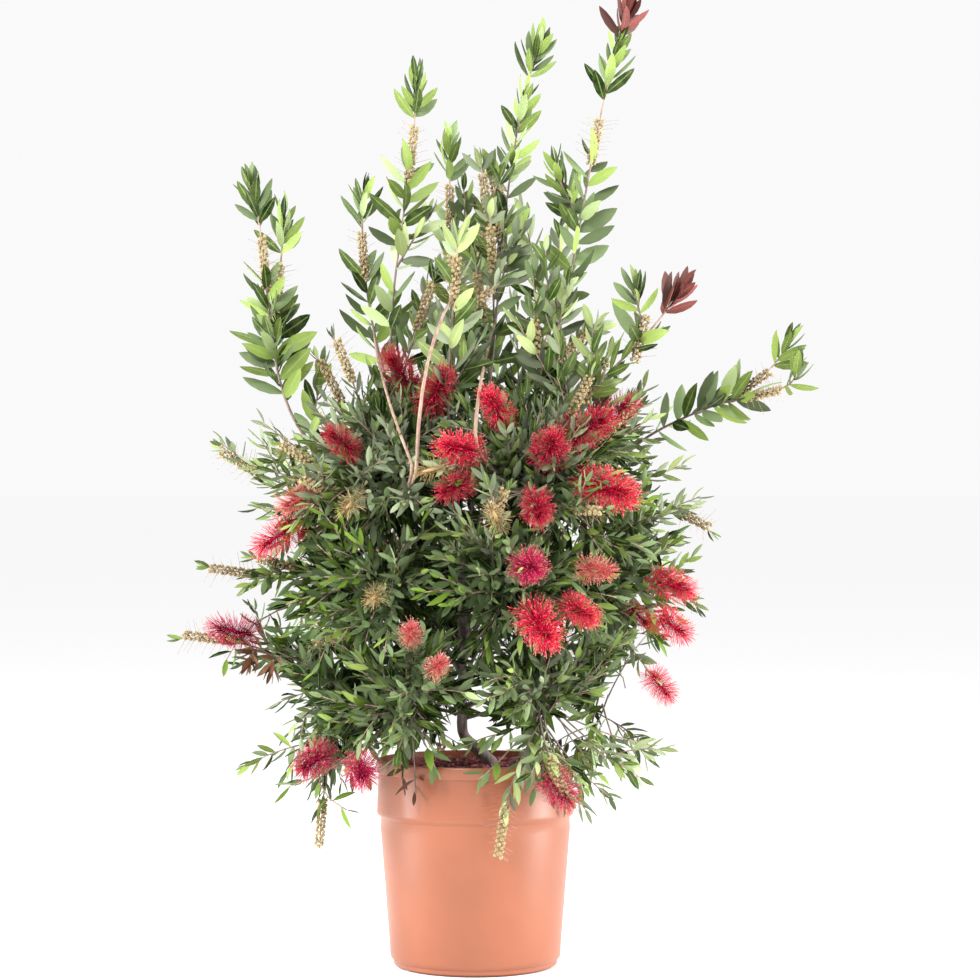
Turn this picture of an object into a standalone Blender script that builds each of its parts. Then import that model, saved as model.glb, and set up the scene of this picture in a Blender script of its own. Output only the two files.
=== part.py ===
"""Potted bottlebrush: a bushy flowering shrub in a terracotta-coloured nursery pot.

Metres, +Z up. The origin is the centre of the pot's flat underside and -Y is the front. One object is made
for the pot, the soil, the trunk, each bough and each mass of foliage. Bearings are degrees anticlockwise
from +X seen from above, so the front is at -90.
"""

import math

import bmesh
import bpy
import numpy as np
from mathutils import Matrix, Vector

COLLECTION = "potted_bottlebrush"
GAP = 0.0003  # between pieces that touch
GOLDEN_TURN = math.radians(137.50776)
UP = Vector((0.0, 0.0, 1.0))

# Pot: a lipped collar stands proud of a tapering body with a rounded foot.
POT_HEIGHT = 0.252
LIP_HEIGHT = 0.015
LIP_RADIUS = 0.1210
COLLAR_FOOT = 0.182
COLLAR_TOP_RADIUS = 0.1190
COLLAR_FOOT_RADIUS = 0.1208
BODY_TOP_RADIUS = 0.1160
BODY_FOOT_RADIUS = 0.1035
UNDERSIDE_RADIUS = 0.0945
FOOT_ROUNDING = 0.009
WALL = 0.0028
EDGE = 0.0010  # chamfer on the lip
STEP_SLOPE = 0.004  # height of the sloping step under the collar
SOIL_LEVEL = 0.2420
TURNED_STEPS = 36

# Trunk: it flares at the soil, leans to the left, then rises to the fork of the crown.
TRUNK_FOOT_X = 0.021
TRUNK_AXIS_X = -0.016
LEAN_TOP = 0.290
LEAN_ENDS = (0.35, 0.45)  # shares of the lean that stay upright at the foot and at its top
LEAN_POINTS = 7
FORK_HEIGHT = 0.452
ROOT_FLARE_RADIUS = 0.0115
FLARE_HEIGHT = 0.007
FLARE_POINT = 0.002  # height of the extra point that shapes the flare
TRUNK_RADIUS = 0.0068
FORK_RADIUS = 0.0046
TRUNK_ROUNDNESS = 3

# Boughs: each starts on the trunk, the steeper ones higher up.
LOWEST_BOUGH = 0.300
HIGHEST_BOUGH = 0.446
BOUGH_RADIUS = 0.0023
BOUGH_TIP_RADIUS = 0.0015
BOUGH_POINTS = 5
BOUGH_ROUNDNESS = 1
BOUGH_LAUNCH = 0.5  # share of the bough's span that its launch direction shapes
LAUNCH_LEAD = 0.16  # share of the angle up to upright by which a bough starts steeper than its target lies

# Crown: a barrel of foliage whose hem hangs lower at the sides than in front of the trunk.
CROWN_RADIUS = 0.262
CROWN_CENTRE = 0.450
CROWN_HALF_HEIGHT = 0.270
CROWN_SQUARENESS = 2.6
HEM_AT_SIDES = 0.200
HEM_AT_FRONT = 0.305
HEM_SHARPNESS = 4
TWIG_TIPS = 92
TIP_DEPTH = 0.86  # share of the crown's reach at which the leafy twigs end

# Rings of masses: name, count, first bearing, reach from the axis, height, core radius.
RINGS = (
    ("low", 6, 0.0, 0.155, 0.330, 0.054),
    ("middle", 6, 47.0, 0.146, 0.455, 0.068),
    ("upper", 4, 32.0, 0.132, 0.580, 0.060),
)
CORE_SQUASH = 0.85
CORE_LUMP = 0.10
LUMP_WAVES = (5.0, 7.0, 6.0)
CORE_DROP = 0.3  # a bough meets its core from below by this share of the reach
CORE_CLEARANCE = 0.004
STEM_LENGTH = 0.012  # bare stem between a bough's tip and the core
STRAIGHT_START = 0.004  # first stretch of a limb or stem, square to its cap

# Leaves, blooms and seed capsules.
LEAF_LENGTH = 0.058
LEAF_WIDTH = 0.0160
SHOOT_LEAF_LENGTH = 0.050
SHOOT_LEAF_WIDTH = 0.0145
LEAF_THICKNESS = 0.0022
LEAF_ANGLE = 44.0
TIP_LEAF_ANGLE = 20.0
LEAF_STEP = 0.022
LEAVES_ON_TWIG = 3
ROOT_DEPTH = 0.0006  # how far a leaf's root is sunk past the middle of its twig
TWIG_RADIUS = 0.0021
TWIG_TIP_RADIUS = 0.0014
TWIG_ARCH = 0.10  # rise of a twig's middle as a share of its length
TWIST = 1.3  # turn of the first leaf from one twig to the next
BLOOM_RADIUS = 0.029
BLOOM_LENGTH = 0.064
BLOOM_CUT = (6, 4, 0.20)  # points round, rings, and share by which every other point is drawn in
CAPSULE_RADIUS = 0.0085
CAPSULE_LENGTH = 0.062
CAPSULE_CUT = (4, 5, 0.25)
CAPSULES_BACK = 0.4  # share of the capsule spike's length from a twig's tip to its middle
BARE_UNDER_BLOOM = 0.45
BARE_UNDER_CAPSULES = 0.95

# Blooms that show: bearing, height, reach as a share of the crown's, and size.
BLOOMS = (
    (-140, 0.715, 1.10, 0.9),
    (-110, 0.712, 0.70, 0.9),
    (-82, 0.680, 1.00, 0.9),
    (-95, 0.630, 1.00, 1.0),
    (-96, 0.585, 0.95, 0.8),
    (-141, 0.640, 0.95, 0.9),
    (-150, 0.570, 0.97, 0.9),
    (-157, 0.525, 1.00, 0.9),
    (-66, 0.632, 0.97, 1.0),
    (-49, 0.655, 1.00, 1.0),
    (-20, 0.680, 1.05, 0.8),
    (-50, 0.582, 1.00, 1.15),
    (-73, 0.560, 0.98, 0.9),
    (-76, 0.495, 1.00, 0.9),
    (-57, 0.490, 1.00, 0.8),
    (-73, 0.425, 1.00, 1.0),
    (-62, 0.442, 1.00, 0.8),
    (-26, 0.472, 1.00, 0.8),
    (-30, 0.425, 1.00, 0.8),
    (-33, 0.355, 1.02, 0.8),
    (-106, 0.420, 1.00, 0.6),
    (-99, 0.382, 1.00, 0.6),
    (-157, 0.252, 1.02, 0.8),
    (-130, 0.252, 1.00, 0.8),
    (-57, 0.230, 1.05, 0.9),
)
BACK_BLOOMS = 9
BACK_BLOOM_LOWEST = 0.30
BACK_BLOOM_HIGHEST = 0.68
BACK_BLOOM_FIRST = 5.0
BACK_BLOOM_SPREAD = 170.0
BACK_BLOOM_SIZE = 0.9
GOLDEN_SHARE = 0.618034

# Twigs that reach out of the crown: tip, then what they carry.
OUTER_TWIGS = (
    ((-0.318, -0.020, 0.635), "capsules"),
    ((-0.328, -0.030, 0.488), "capsules"),
    ((-0.293, -0.050, 0.415), "bloom"),
    ((-0.358, -0.046, 0.404), "capsules"),
    ((0.286, -0.030, 0.533), "capsules"),
    ((0.205, -0.020, 0.290), "leaves"),
    ((0.172, -0.060, 0.228), "leaves"),
    ((-0.242, -0.030, 0.292), "leaves"),
    ((-0.186, -0.080, 0.158), "capsules"),
    ((0.030, -0.160, 0.152), "capsules"),
    ((-0.169, -0.100, 0.765), "capsules"),
    ((0.215, 0.040, 0.265), "leaves"),
    ((-0.215, 0.070, 0.240), "leaves"),
    ((-0.040, 0.150, 0.215), "capsules"),
    ((0.120, 0.270, 0.520), "capsules"),
    ((-0.150, 0.265, 0.470), "capsules"),
)

OUTER_BLOOM_SIZE = 0.8

# Tall shoots: name, foot, tip of the stem, lean at the tip, and side shoots (share of the stem, tip).
SHOOTS = (
    ("left_pair", (-0.200, -0.060, 0.640), (-0.268, -0.070, 0.940), -0.15, ((0.30, (-0.236, -0.045, 0.905)),)),
    ("left", (-0.078, 0.050, 0.626), (-0.138, 0.060, 0.938), 0.08, ()),
    ("mid_left", (-0.078, -0.006, 0.631), (-0.070, -0.020, 1.076), 0.00, ()),
    ("mid", (-0.026, 0.100, 0.660), (-0.033, 0.100, 1.010), 0.00, ((0.45, (0.020, 0.110, 0.935)),)),
    ("tall", (0.008, 0.010, 0.644), (0.077, 0.030, 1.130), 0.22, ((0.50, (0.022, 0.020, 0.975)),)),
    ("top", (0.067, -0.030, 0.680), (0.178, -0.030, 1.160), 0.22, ((0.45, (0.104, -0.035, 0.950)),)),
    ("right", (0.115, -0.085, 0.670), (0.232, -0.100, 0.822), 0.55, ((0.62, (0.196, -0.118, 0.808)),)),
    ("far_right", (0.190, 0.042, 0.628), (0.368, 0.010, 0.765), 0.75, ((0.45, (0.388, -0.025, 0.712)),)),
    ("centre_right", (0.037, 0.060, 0.650), (0.098, 0.064, 0.800), 0.30, ()),
    ("front", (-0.030, -0.110, 0.660), (-0.020, -0.112, 0.880), 0.05, ()),
    ("back", (0.030, 0.165, 0.660), (0.000, 0.180, 0.900), 0.00, ()),
    ("back_right", (0.105, 0.140, 0.655), (0.112, 0.172, 0.830), 0.15, ()),
)
SHOOT_POINTS = 7
SHOOT_RADIUS = 0.0022
SHOOT_TIP_RADIUS = 0.0014
SHOOT_ENDS = (0.30, 0.35)  # shares of its reach by which a shoot leaves its foot and comes to its tip
SIDE_ENDS = (0.20, 0.25)
SIDE_POINTS = 5
SIDE_THINNER = 0.8
TUFT = (0.002, 0.036)  # stretches of a shoot, measured down from the tip of its stem
TUFT_LEAVES = 4
TUFT_ANGLES = (14.0, 38.0)
CAPSULES_FROM = 0.052
LEAFY = (0.120, 0.235)
LEAFY_LEAVES = 6
LEAFY_ANGLES = (40.0, 55.0)
LEAFY_TWIST = 2.0
SIDE_TWIST = 1.7
BARE_FOOT = 0.004

# Room that each mass keeps to.
CLUMP_ROOM = 0.075  # head start of a crown mass over a shoot in sharing out the room
SHOOT_ROOM = 0.020
ROOM_MARGIN = 0.0015
LIMB_MARGIN = 0.0012
POT_MARGIN = 0.0030
LOWEST_POINT = 0.0200

COLOURS = {
    "pot": (0.83, 0.34, 0.17),
    "soil": (0.09, 0.035, 0.03),
    "bark": (0.20, 0.16, 0.13),
    "crown": (0.075, 0.12, 0.03),
    "shoot": (0.16, 0.25, 0.06),
}
ROUGHNESS = {"pot": 0.45, "soil": 0.95, "bark": 0.85, "crown": 0.55, "shoot": 0.5}


# ---------------------------------------------------------------- small tools


def polar(bearing, reach, height):
    turn = math.radians(bearing)
    return Vector((reach * math.cos(turn), reach * math.sin(turn), height))


def bezier(controls, count):
    """Points evenly spaced in parameter along a Bezier curve of any degree."""
    path = []
    for step in range(count):
        share = step / (count - 1)
        row = [Vector(c) for c in controls]
        while len(row) > 1:
            row = [a.lerp(b, share) for a, b in zip(row, row[1:])]
        path.append(row[0])
    return path


def directions(path):
    """The path's direction at each of its points."""
    steps = [(b - a).normalized() for a, b in zip(path, path[1:])]
    inner = [(a + b).normalized() for a, b in zip(steps, steps[1:])]
    return [steps[0], *inner, steps[-1]]


def path_length(path):
    return sum((b - a).length for a, b in zip(path, path[1:]))


def down_path(path, distance):
    """The point that lies a distance back from the path's end, and the direction there."""
    for a, b in zip(path[-2::-1], path[:0:-1]):
        step = (b - a).length
        if distance <= step:
            return b.lerp(a, distance / step), (b - a) / step
        distance -= step
    return path[0].copy(), (path[1] - path[0]).normalized()


def any_side(direction):
    """A unit vector square to a direction."""
    helper = UP if abs(direction.z) < 0.9 else Vector((1.0, 0.0, 0.0))
    return direction.cross(helper).normalized()


def crown_reach(height):
    level = abs(height - CROWN_CENTRE) / CROWN_HALF_HEIGHT
    rest = max(0.0, 1.0 - level**CROWN_SQUARENESS)
    return CROWN_RADIUS * rest ** (1.0 / CROWN_SQUARENESS)


def hem_height(bearing):
    frontness = abs(math.sin(bearing)) ** HEM_SHARPNESS
    return HEM_AT_SIDES + (HEM_AT_FRONT - HEM_AT_SIDES) * frontness


# ------------------------------------------------------------- objects and materials


def clear_scene():
    for thing in list(bpy.data.objects):
        bpy.data.objects.remove(thing)


def new_collection(name):
    made = bpy.data.collections.new(name)
    bpy.context.scene.collection.children.link(made)
    return made


def finish_material(name, kind):
    material = bpy.data.materials.new(name)
    material.use_nodes = True
    shader = material.node_tree.nodes["Principled BSDF"]
    shader.inputs["Base Color"].default_value = (*COLOURS[kind], 1.0)
    shader.inputs["Roughness"].default_value = ROUGHNESS[kind]
    shader.inputs["Metallic"].default_value = 0.0
    return material


def add_object(name, data, collection, kind):
    made = bpy.data.objects.new(name, data)
    data.materials.append(finish_material(name, kind))
    collection.objects.link(made)
    return made


def mesh_from(shape, name):
    bmesh.ops.recalc_face_normals(shape, faces=shape.faces)
    mesh = bpy.data.meshes.new(name)
    shape.to_mesh(mesh)
    shape.free()
    return mesh


# ------------------------------------------------------------- pot, soil and limbs


def pot_inside():
    """The pot's inner wall as (radius, height), from the floor to the lip."""
    return [
        (BODY_FOOT_RADIUS - WALL, WALL),
        (BODY_TOP_RADIUS - WALL, COLLAR_FOOT),
        (COLLAR_FOOT_RADIUS - WALL, COLLAR_FOOT + STEP_SLOPE),
        (COLLAR_TOP_RADIUS - WALL, POT_HEIGHT),
    ]


def pot_outside():
    """The pot's outer side as (radius, height), from the lip down to the underside."""
    lip_foot = POT_HEIGHT - LIP_HEIGHT
    rounding = [
        (
            UNDERSIDE_RADIUS + FOOT_ROUNDING * math.cos(turn),
            FOOT_ROUNDING * (1.0 - math.sin(turn)),
        )
        for turn in (0.0, math.pi / 6, math.pi / 3)
    ]
    return [
        (LIP_RADIUS - EDGE, POT_HEIGHT),
        (LIP_RADIUS, POT_HEIGHT - EDGE),
        (LIP_RADIUS, lip_foot + EDGE),
        (COLLAR_TOP_RADIUS, lip_foot),
        (COLLAR_FOOT_RADIUS, COLLAR_FOOT + STEP_SLOPE),
        (BODY_TOP_RADIUS, COLLAR_FOOT),
        *rounding,
        (UNDERSIDE_RADIUS, 0.0),
    ]


def turned(name, profile, collection, kind):
    """A solid of revolution: the profile goes from the axis out and down its outer side, back to the axis."""
    outline = bmesh.new()
    verts = [outline.verts.new((radius, 0.0, height)) for radius, height in profile]
    for a, b in zip(verts, verts[1:]):
        outline.edges.new((a, b))
    mesh = bpy.data.meshes.new(name)
    outline.to_mesh(mesh)
    outline.free()
    made = add_object(name, mesh, collection, kind)
    screw = made.modifiers.new("turn", "SCREW")
    screw.angle = math.tau
    screw.steps = TURNED_STEPS
    screw.render_steps = TURNED_STEPS
    screw.use_merge_vertices = True
    screw.merge_threshold = 0.00005
    screw.use_smooth_shade = True
    return made


def make_pot(collection):
    profile = [(0.0, WALL), *pot_inside(), *pot_outside(), (0.0, 0.0)]
    return turned("pot", profile, collection, "pot")


def make_soil(collection):
    """Soil fills the pot to just under the lip, level where the trunk stands."""
    side = [(radius - GAP, height + GAP) for radius, height in pot_inside()[:-1]]
    (low_radius, low_height), (top_radius, top_height) = pot_inside()[-2:]
    share = (SOIL_LEVEL - low_height) / (top_height - low_height)
    edge = low_radius + (top_radius - low_radius) * share - GAP
    profile = [(0.0, SOIL_LEVEL), (edge, SOIL_LEVEL), *reversed(side), (0.0, WALL + GAP)]
    return turned("soil", profile, collection, "soil")


def limb(name, path, radii, roundness, collection):
    """A round tapering limb: a curve with a bevel, a radius at each point and filled ends."""
    curve = bpy.data.curves.new(name, "CURVE")
    curve.dimensions = "3D"
    curve.bevel_depth = radii[0]
    curve.bevel_resolution = roundness
    curve.use_fill_caps = True
    spline = curve.splines.new("POLY")
    spline.points.add(len(path) - 1)
    for point, place, radius in zip(spline.points, path, radii):
        point.co = (*place, 1.0)
        point.radius = radius / radii[0]
    return add_object(name, curve, collection, "bark")


def trunk_path():
    foot = SOIL_LEVEL + GAP
    leaning = bezier(
        [
            (TRUNK_FOOT_X, 0.0, foot),
            (TRUNK_FOOT_X, 0.0, foot + LEAN_ENDS[0] * (LEAN_TOP - foot)),
            (TRUNK_AXIS_X, 0.0, LEAN_TOP - LEAN_ENDS[1] * (LEAN_TOP - foot)),
            (TRUNK_AXIS_X, 0.0, LEAN_TOP),
        ],
        LEAN_POINTS,
    )
    collar = Vector((TRUNK_FOOT_X, 0.0, foot + FLARE_POINT))
    middle = Vector((TRUNK_AXIS_X, 0.0, (LEAN_TOP + FORK_HEIGHT) / 2))
    fork = Vector((TRUNK_AXIS_X, 0.0, FORK_HEIGHT))
    return [leaning[0], collar, *leaning[1:], middle, fork]


def trunk_radius(height):
    foot = SOIL_LEVEL + GAP
    taper = (height - foot) / (FORK_HEIGHT - foot)
    straight = TRUNK_RADIUS + (FORK_RADIUS - TRUNK_RADIUS) * taper
    flare = (ROOT_FLARE_RADIUS - TRUNK_RADIUS) * math.exp(-(height - foot) / FLARE_HEIGHT)
    return straight + flare


def steepness(target):
    """Angle above level at which a bough's target is seen from the lowest fork."""
    across = math.hypot(target.x - TRUNK_AXIS_X, target.y)
    return math.atan2(target.z - LOWEST_BOUGH, across)


def bough_path(seat_height, target):
    """A bough springs from the trunk's side more steeply than its target lies, and arches over to it."""
    axis = Vector((TRUNK_AXIS_X, 0.0, seat_height))
    outward = Vector((target.x - axis.x, target.y, 0.0)).normalized()
    rise = steepness(target) + LAUNCH_LEAD * (math.pi / 2 - steepness(target))
    start_direction = outward * math.cos(rise) + UP * math.sin(rise)
    clearance = trunk_radius(seat_height) + GAP + BOUGH_RADIUS * math.sin(rise)
    seat = axis + outward * clearance
    control = seat + start_direction * BOUGH_LAUNCH * (target - seat).length
    path = bezier([seat, control, target], BOUGH_POINTS)
    return [seat, seat + start_direction * STRAIGHT_START, *path[1:]]


def bough_radii(path):
    steps = len(path) - 1
    return [BOUGH_RADIUS + (BOUGH_TIP_RADIUS - BOUGH_RADIUS) * k / steps for k in range(steps + 1)]


# --------------------------------------------------------------- room of each mass


def distances(points, starts, ends):
    """Distance of each point to each segment, as an array."""
    along = ends - starts
    offset = points[:, None, :] - starts[None]
    share = (offset * along).sum(2) / np.maximum((along**2).sum(1), 1e-12)
    share = np.clip(share, 0.0, 1.0)
    return np.linalg.norm(offset - share[..., None] * along, axis=2)


class Room:
    """Shares the air out among the masses: a place belongs to the mass whose guide is nearest."""

    def __init__(self):
        self.names = []
        self.starts = []
        self.ends = []
        self.head_starts = []
        self.limb_owners = []
        self.limb_starts = []
        self.limb_ends = []
        self.limb_radii = []

    def add_guide(self, name, path, head_start):
        for a, b in zip(path, path[1:]):
            self.names.append(name)
            self.starts.append(a)
            self.ends.append(b)
            self.head_starts.append(head_start)

    def add_limb(self, owner, path, radii):
        for a, b, radius in zip(path, path[1:], radii):
            self.limb_owners.append(owner)
            self.limb_starts.append(a)
            self.limb_ends.append(b)
            self.limb_radii.append(radius)

    def owner(self, point):
        spans = distances(np.array([point]), np.array(self.starts), np.array(self.ends))
        return self.names[int(np.argmin(spans[0] - np.array(self.head_starts)))]

    def limb_distance(self, point, but_not):
        """Free distance from a point to the nearest limb."""
        mine = np.array([owner == but_not for owner in self.limb_owners])
        spans = distances(np.array([point]), np.array(self.limb_starts), np.array(self.limb_ends))
        spans = spans[0] - np.array(self.limb_radii)
        return float(spans[~mine].min())

    def holds(self, name, shape):
        """True if a shape stays in its mass's room, clear of the limbs, the pot and the ground."""
        corners = [v.co for v in shape.verts]
        middles = [(e.verts[0].co + e.verts[1].co) / 2 for e in shape.edges]
        points = np.array(corners + middles)
        radial = np.hypot(points[:, 0], points[:, 1])
        in_pot = (radial < LIP_RADIUS + POT_MARGIN) & (points[:, 2] < POT_HEIGHT + POT_MARGIN)
        if in_pot.any() or points[:, 2].min() < LOWEST_POINT:
            return False
        spans = distances(points, np.array(self.starts), np.array(self.ends))
        spans = spans - np.array(self.head_starts)
        own = np.array([n == name for n in self.names])
        if (spans[:, own].min(1) + ROOM_MARGIN > spans[:, ~own].min(1)).any():
            return False
        mine = np.array([owner == name for owner in self.limb_owners])
        spans = distances(points, np.array(self.limb_starts), np.array(self.limb_ends))
        spans = spans - np.array(self.limb_radii)
        return bool((spans[:, ~mine] > LIMB_MARGIN).all())


# ----------------------------------------------------------------- pieces of a mass


def rod(path, radii, sides=3):
    """A closed tapering rod, extruded ring by ring along a path."""
    shape = bmesh.new()
    ways = directions(path)
    turn = UP.rotation_difference(ways[0])
    place = Matrix.LocRotScale(path[0], turn, Vector((radii[0],) * 3))
    bmesh.ops.create_circle(shape, cap_ends=True, radius=1.0, segments=sides, matrix=place)
    cap = shape.faces[:]
    inner = []
    for before, way, point, radius in zip(ways, ways[1:], path[1:], radii[1:]):
        turn = before.rotation_difference(way) @ turn
        following = Matrix.LocRotScale(point, turn, Vector((radius,) * 3))
        grown = bmesh.ops.extrude_face_region(shape, geom=cap)["geom"]
        bmesh.ops.delete(shape, geom=inner, context="FACES_ONLY")
        ring = [g for g in grown if isinstance(g, bmesh.types.BMVert)]
        cap = [g for g in grown if isinstance(g, bmesh.types.BMFace)]
        inner = cap
        bmesh.ops.transform(shape, matrix=following @ place.inverted(), verts=ring)
        place = following
    return shape


def frame_along(origin, axis, facing):
    """A frame whose Z runs along the axis and whose Y turns to the facing direction."""
    side = axis.cross(facing).normalized()
    face = side.cross(axis)
    basis = Matrix((side, face, axis)).transposed().to_4x4()
    return Matrix.Translation(origin) @ basis


def leaf(root, axis, facing, length, width):
    """A leaf blade of eight faces, its root sunk past the middle of the twig."""
    size = Matrix.Diagonal((width / 2, LEAF_THICKNESS / 2, length / 2, 1.0))
    lift = Matrix.Translation((0.0, 0.0, 1.0 - 2.0 * ROOT_DEPTH / length))
    shape = bmesh.new()
    place = frame_along(root, axis, facing) @ size @ lift
    bmesh.ops.create_uvsphere(shape, u_segments=4, v_segments=2, radius=1.0, matrix=place)
    return shape


def brush(centre, axis, radius, length, sides, rings, dip):
    """A spiky or knobbly sausage round a twig: every other point is drawn in."""
    shape = bmesh.new()
    bmesh.ops.create_uvsphere(shape, u_segments=sides, v_segments=rings, radius=1.0)
    shape.verts.index_update()
    for vert in shape.verts:
        if vert.index % 2:
            vert.co *= 1.0 - dip
    size = Matrix.Diagonal((radius, radius, length / 2, 1.0))
    place = frame_along(centre, axis, any_side(axis)) @ size
    bmesh.ops.transform(shape, matrix=place, verts=shape.verts)
    bmesh.ops.triangulate(shape, faces=shape.faces)
    return shape


def bloom(centre, axis, size):
    return brush(centre, axis, BLOOM_RADIUS * size, BLOOM_LENGTH * size, *BLOOM_CUT)


def capsules(centre, axis):
    return brush(centre, axis, CAPSULE_RADIUS, CAPSULE_LENGTH, *CAPSULE_CUT)


def core(centre, radius):
    """The dense, lumpy heart of a crown mass, which its twigs stand out of."""
    shape = bmesh.new()
    bmesh.ops.create_icosphere(shape, subdivisions=2, radius=1.0)
    waves = Vector(LUMP_WAVES)
    for vert in shape.verts:
        vert.co *= 1.0 - CORE_LUMP * (1.0 + math.sin(waves.dot(vert.co) + radius / CORE_LUMP))
    size = Matrix.Diagonal((radius, radius, radius * CORE_SQUASH, 1.0))
    bmesh.ops.transform(shape, matrix=Matrix.Translation(centre) @ size, verts=shape.verts)
    return shape


def leaves_along(path, stretch, count, length, width, turn, angles=(TIP_LEAF_ANGLE, LEAF_ANGLE)):
    """Leaves spaced down a stretch of a twig, each turned on by the golden angle and leaning forward."""
    first, last = stretch
    for k in range(count):
        share = k / max(1, count - 1)
        root, way = down_path(path, first + (last - first) * share)
        lean = math.radians(angles[0] + (angles[1] - angles[0]) * share)
        around = Matrix.Rotation(turn + k * GOLDEN_TURN, 3, way) @ any_side(way)
        axis = (way * math.cos(lean) + around * math.sin(lean)).normalized()
        yield leaf(root, axis, way, length, width)


# ------------------------------------------------------------------ growing a mass


class Mass:
    """One node of foliage: a stem and the pieces that are fused to it."""

    def __init__(self, name, room, stem):
        self.name = name
        self.room = room
        self.stem = stem
        self.pieces = []

    def add(self, shape):
        """Keeps a piece only if it stays in the mass's own room."""
        fits = self.room.holds(self.name, shape)
        if fits:
            self.pieces.append(shape)
        else:
            shape.free()
        return fits

    def add_twig(self, path, radii=(TWIG_RADIUS, TWIG_TIP_RADIUS)):
        steps = len(path) - 1
        taper = [radii[0] + (radii[1] - radii[0]) * k / steps for k in range(steps + 1)]
        return self.add(rod(path, taper))


def grow_twig(mass, heart, tip, load, seed, size=1.0):
    """A twig from the heart of a crown mass to its tip, with leaves and what it bears."""
    arch = UP * TWIG_ARCH * (tip - heart).length
    path = bezier([heart, heart.lerp(tip, 0.5) + arch, tip], 3)
    if not mass.add_twig(path):
        return
    way = (path[-1] - path[-2]).normalized()
    free_from = 0.0
    if load == "bloom":
        mass.add(bloom(tip, way, size))
        free_from = BARE_UNDER_BLOOM * BLOOM_LENGTH * size
    elif load == "capsules":
        mass.add(capsules(tip - way * CAPSULES_BACK * CAPSULE_LENGTH, way))
        free_from = BARE_UNDER_CAPSULES * CAPSULE_LENGTH
    count = LEAVES_ON_TWIG if load == "leaves" else LEAVES_ON_TWIG - 1
    stretch = (free_from, free_from + LEAF_STEP * (count - 1))
    for blade in leaves_along(path, stretch, count, LEAF_LENGTH, LEAF_WIDTH, seed * TWIST):
        mass.add(blade)


def twig_tips():
    """Tips spread evenly over the crown's surface by the golden angle, down to the hem."""
    lowest = HEM_AT_SIDES
    highest = CROWN_CENTRE + CROWN_HALF_HEIGHT
    for k in range(TWIG_TIPS):
        height = lowest + (highest - lowest) * (k + 0.5) / TWIG_TIPS
        bearing = k * GOLDEN_TURN
        if height > hem_height(bearing):
            yield polar(math.degrees(bearing), crown_reach(height) * TIP_DEPTH, height)


def bloom_places():
    """Blooms at their own places in front, then spread by the golden angle over the back."""
    for bearing, height, share, size in BLOOMS:
        yield polar(bearing, crown_reach(height) * share, height), size
    for k in range(BACK_BLOOMS):
        height = BACK_BLOOM_LOWEST + (BACK_BLOOM_HIGHEST - BACK_BLOOM_LOWEST) * (k + 0.5) / BACK_BLOOMS
        bearing = BACK_BLOOM_FIRST + BACK_BLOOM_SPREAD * ((k * GOLDEN_SHARE) % 1.0)
        yield polar(bearing, crown_reach(height), height), BACK_BLOOM_SIZE


def grow_crown(clumps, room):
    """Every twig belongs to the crown mass in whose room its tip lies."""
    masses = {}
    for name, heart, radius, stem in clumps:
        mass = Mass(name, room, rod(stem, [BOUGH_TIP_RADIUS, BOUGH_TIP_RADIUS, TWIG_RADIUS]))
        free = room.limb_distance(heart, name) - CORE_CLEARANCE
        mass.pieces.append(core(heart, min(radius, free)))
        masses[name] = (mass, heart)
    loads = [(tip, "bloom", size) for tip, size in bloom_places()]
    loads += [(Vector(tip), load, OUTER_BLOOM_SIZE) for tip, load in OUTER_TWIGS]
    loads += [(tip, "leaves", 1.0) for tip in twig_tips()]
    for seed, (tip, load, size) in enumerate(loads):
        name = room.owner(tip)
        if name in masses:
            mass, heart = masses[name]
            grow_twig(mass, heart, tip, load, seed, size)
    return [mass for mass, heart in masses.values()]


def dress_shoot(mass, path, seed, side):
    """A tall shoot bears a tuft of leaves, a spike of capsules under it, and a leafy stretch."""
    size = (SHOOT_LEAF_LENGTH, SHOOT_LEAF_WIDTH)
    for blade in leaves_along(path, TUFT, TUFT_LEAVES, *size, seed, TUFT_ANGLES):
        mass.add(blade)
    if path_length(path) < CAPSULES_FROM + CAPSULE_LENGTH:
        return
    centre, way = down_path(path, CAPSULES_FROM + CAPSULE_LENGTH / 2)
    mass.add(capsules(centre, way))
    stretch = LEAFY
    count = LEAFY_LEAVES // 2 if side else LEAFY_LEAVES
    if path_length(path) < LEAFY[1]:
        stretch = (LEAFY[0], path_length(path) - BARE_FOOT)
        count = int(LEAFY_LEAVES * (stretch[1] - stretch[0]) / (LEAFY[1] - LEAFY[0]))
    if stretch[1] > stretch[0]:
        for blade in leaves_along(path, stretch, count, *size, seed + LEAFY_TWIST, LEAFY_ANGLES):
            mass.add(blade)


def shoot_path(foot, way, tip, lean):
    """A shoot leaves its foot along the bough's own direction and straightens up to its tip."""
    reach = (tip - foot).length
    arrival = Vector((lean, 0.0, 1.0)).normalized()
    leaving = foot + way * SHOOT_ENDS[0] * reach
    path = bezier([foot, leaving, tip - arrival * SHOOT_ENDS[1] * reach, tip], SHOOT_POINTS)
    return [foot, foot + way * STRAIGHT_START, *path[1:]]


def grow_shoot(name, path, sides, room, seed):
    steps = len(path) - 1
    radii = [SHOOT_RADIUS + (SHOOT_TIP_RADIUS - SHOOT_RADIUS) * k / steps for k in range(steps + 1)]
    mass = Mass(name, room, rod(path, radii, 4))
    dress_shoot(mass, path, seed, bool(sides))
    for number, side in enumerate(sides):
        if mass.add_twig(side, (SHOOT_RADIUS * SIDE_THINNER, SHOOT_TIP_RADIUS)):
            dress_shoot(mass, side, seed + SIDE_TWIST + number, True)
    return mass


def side_path(path, share, tip):
    """A side shoot leaves the main one at a share of its length."""
    root, way = down_path(path, (1.0 - share) * path_length(path))
    reach = (tip - root).length
    leaving = root + (way + (tip - root) / reach) * SIDE_ENDS[0] * reach
    return bezier([root, leaving, tip - UP * SIDE_ENDS[1] * reach, tip], SIDE_POINTS)


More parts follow.
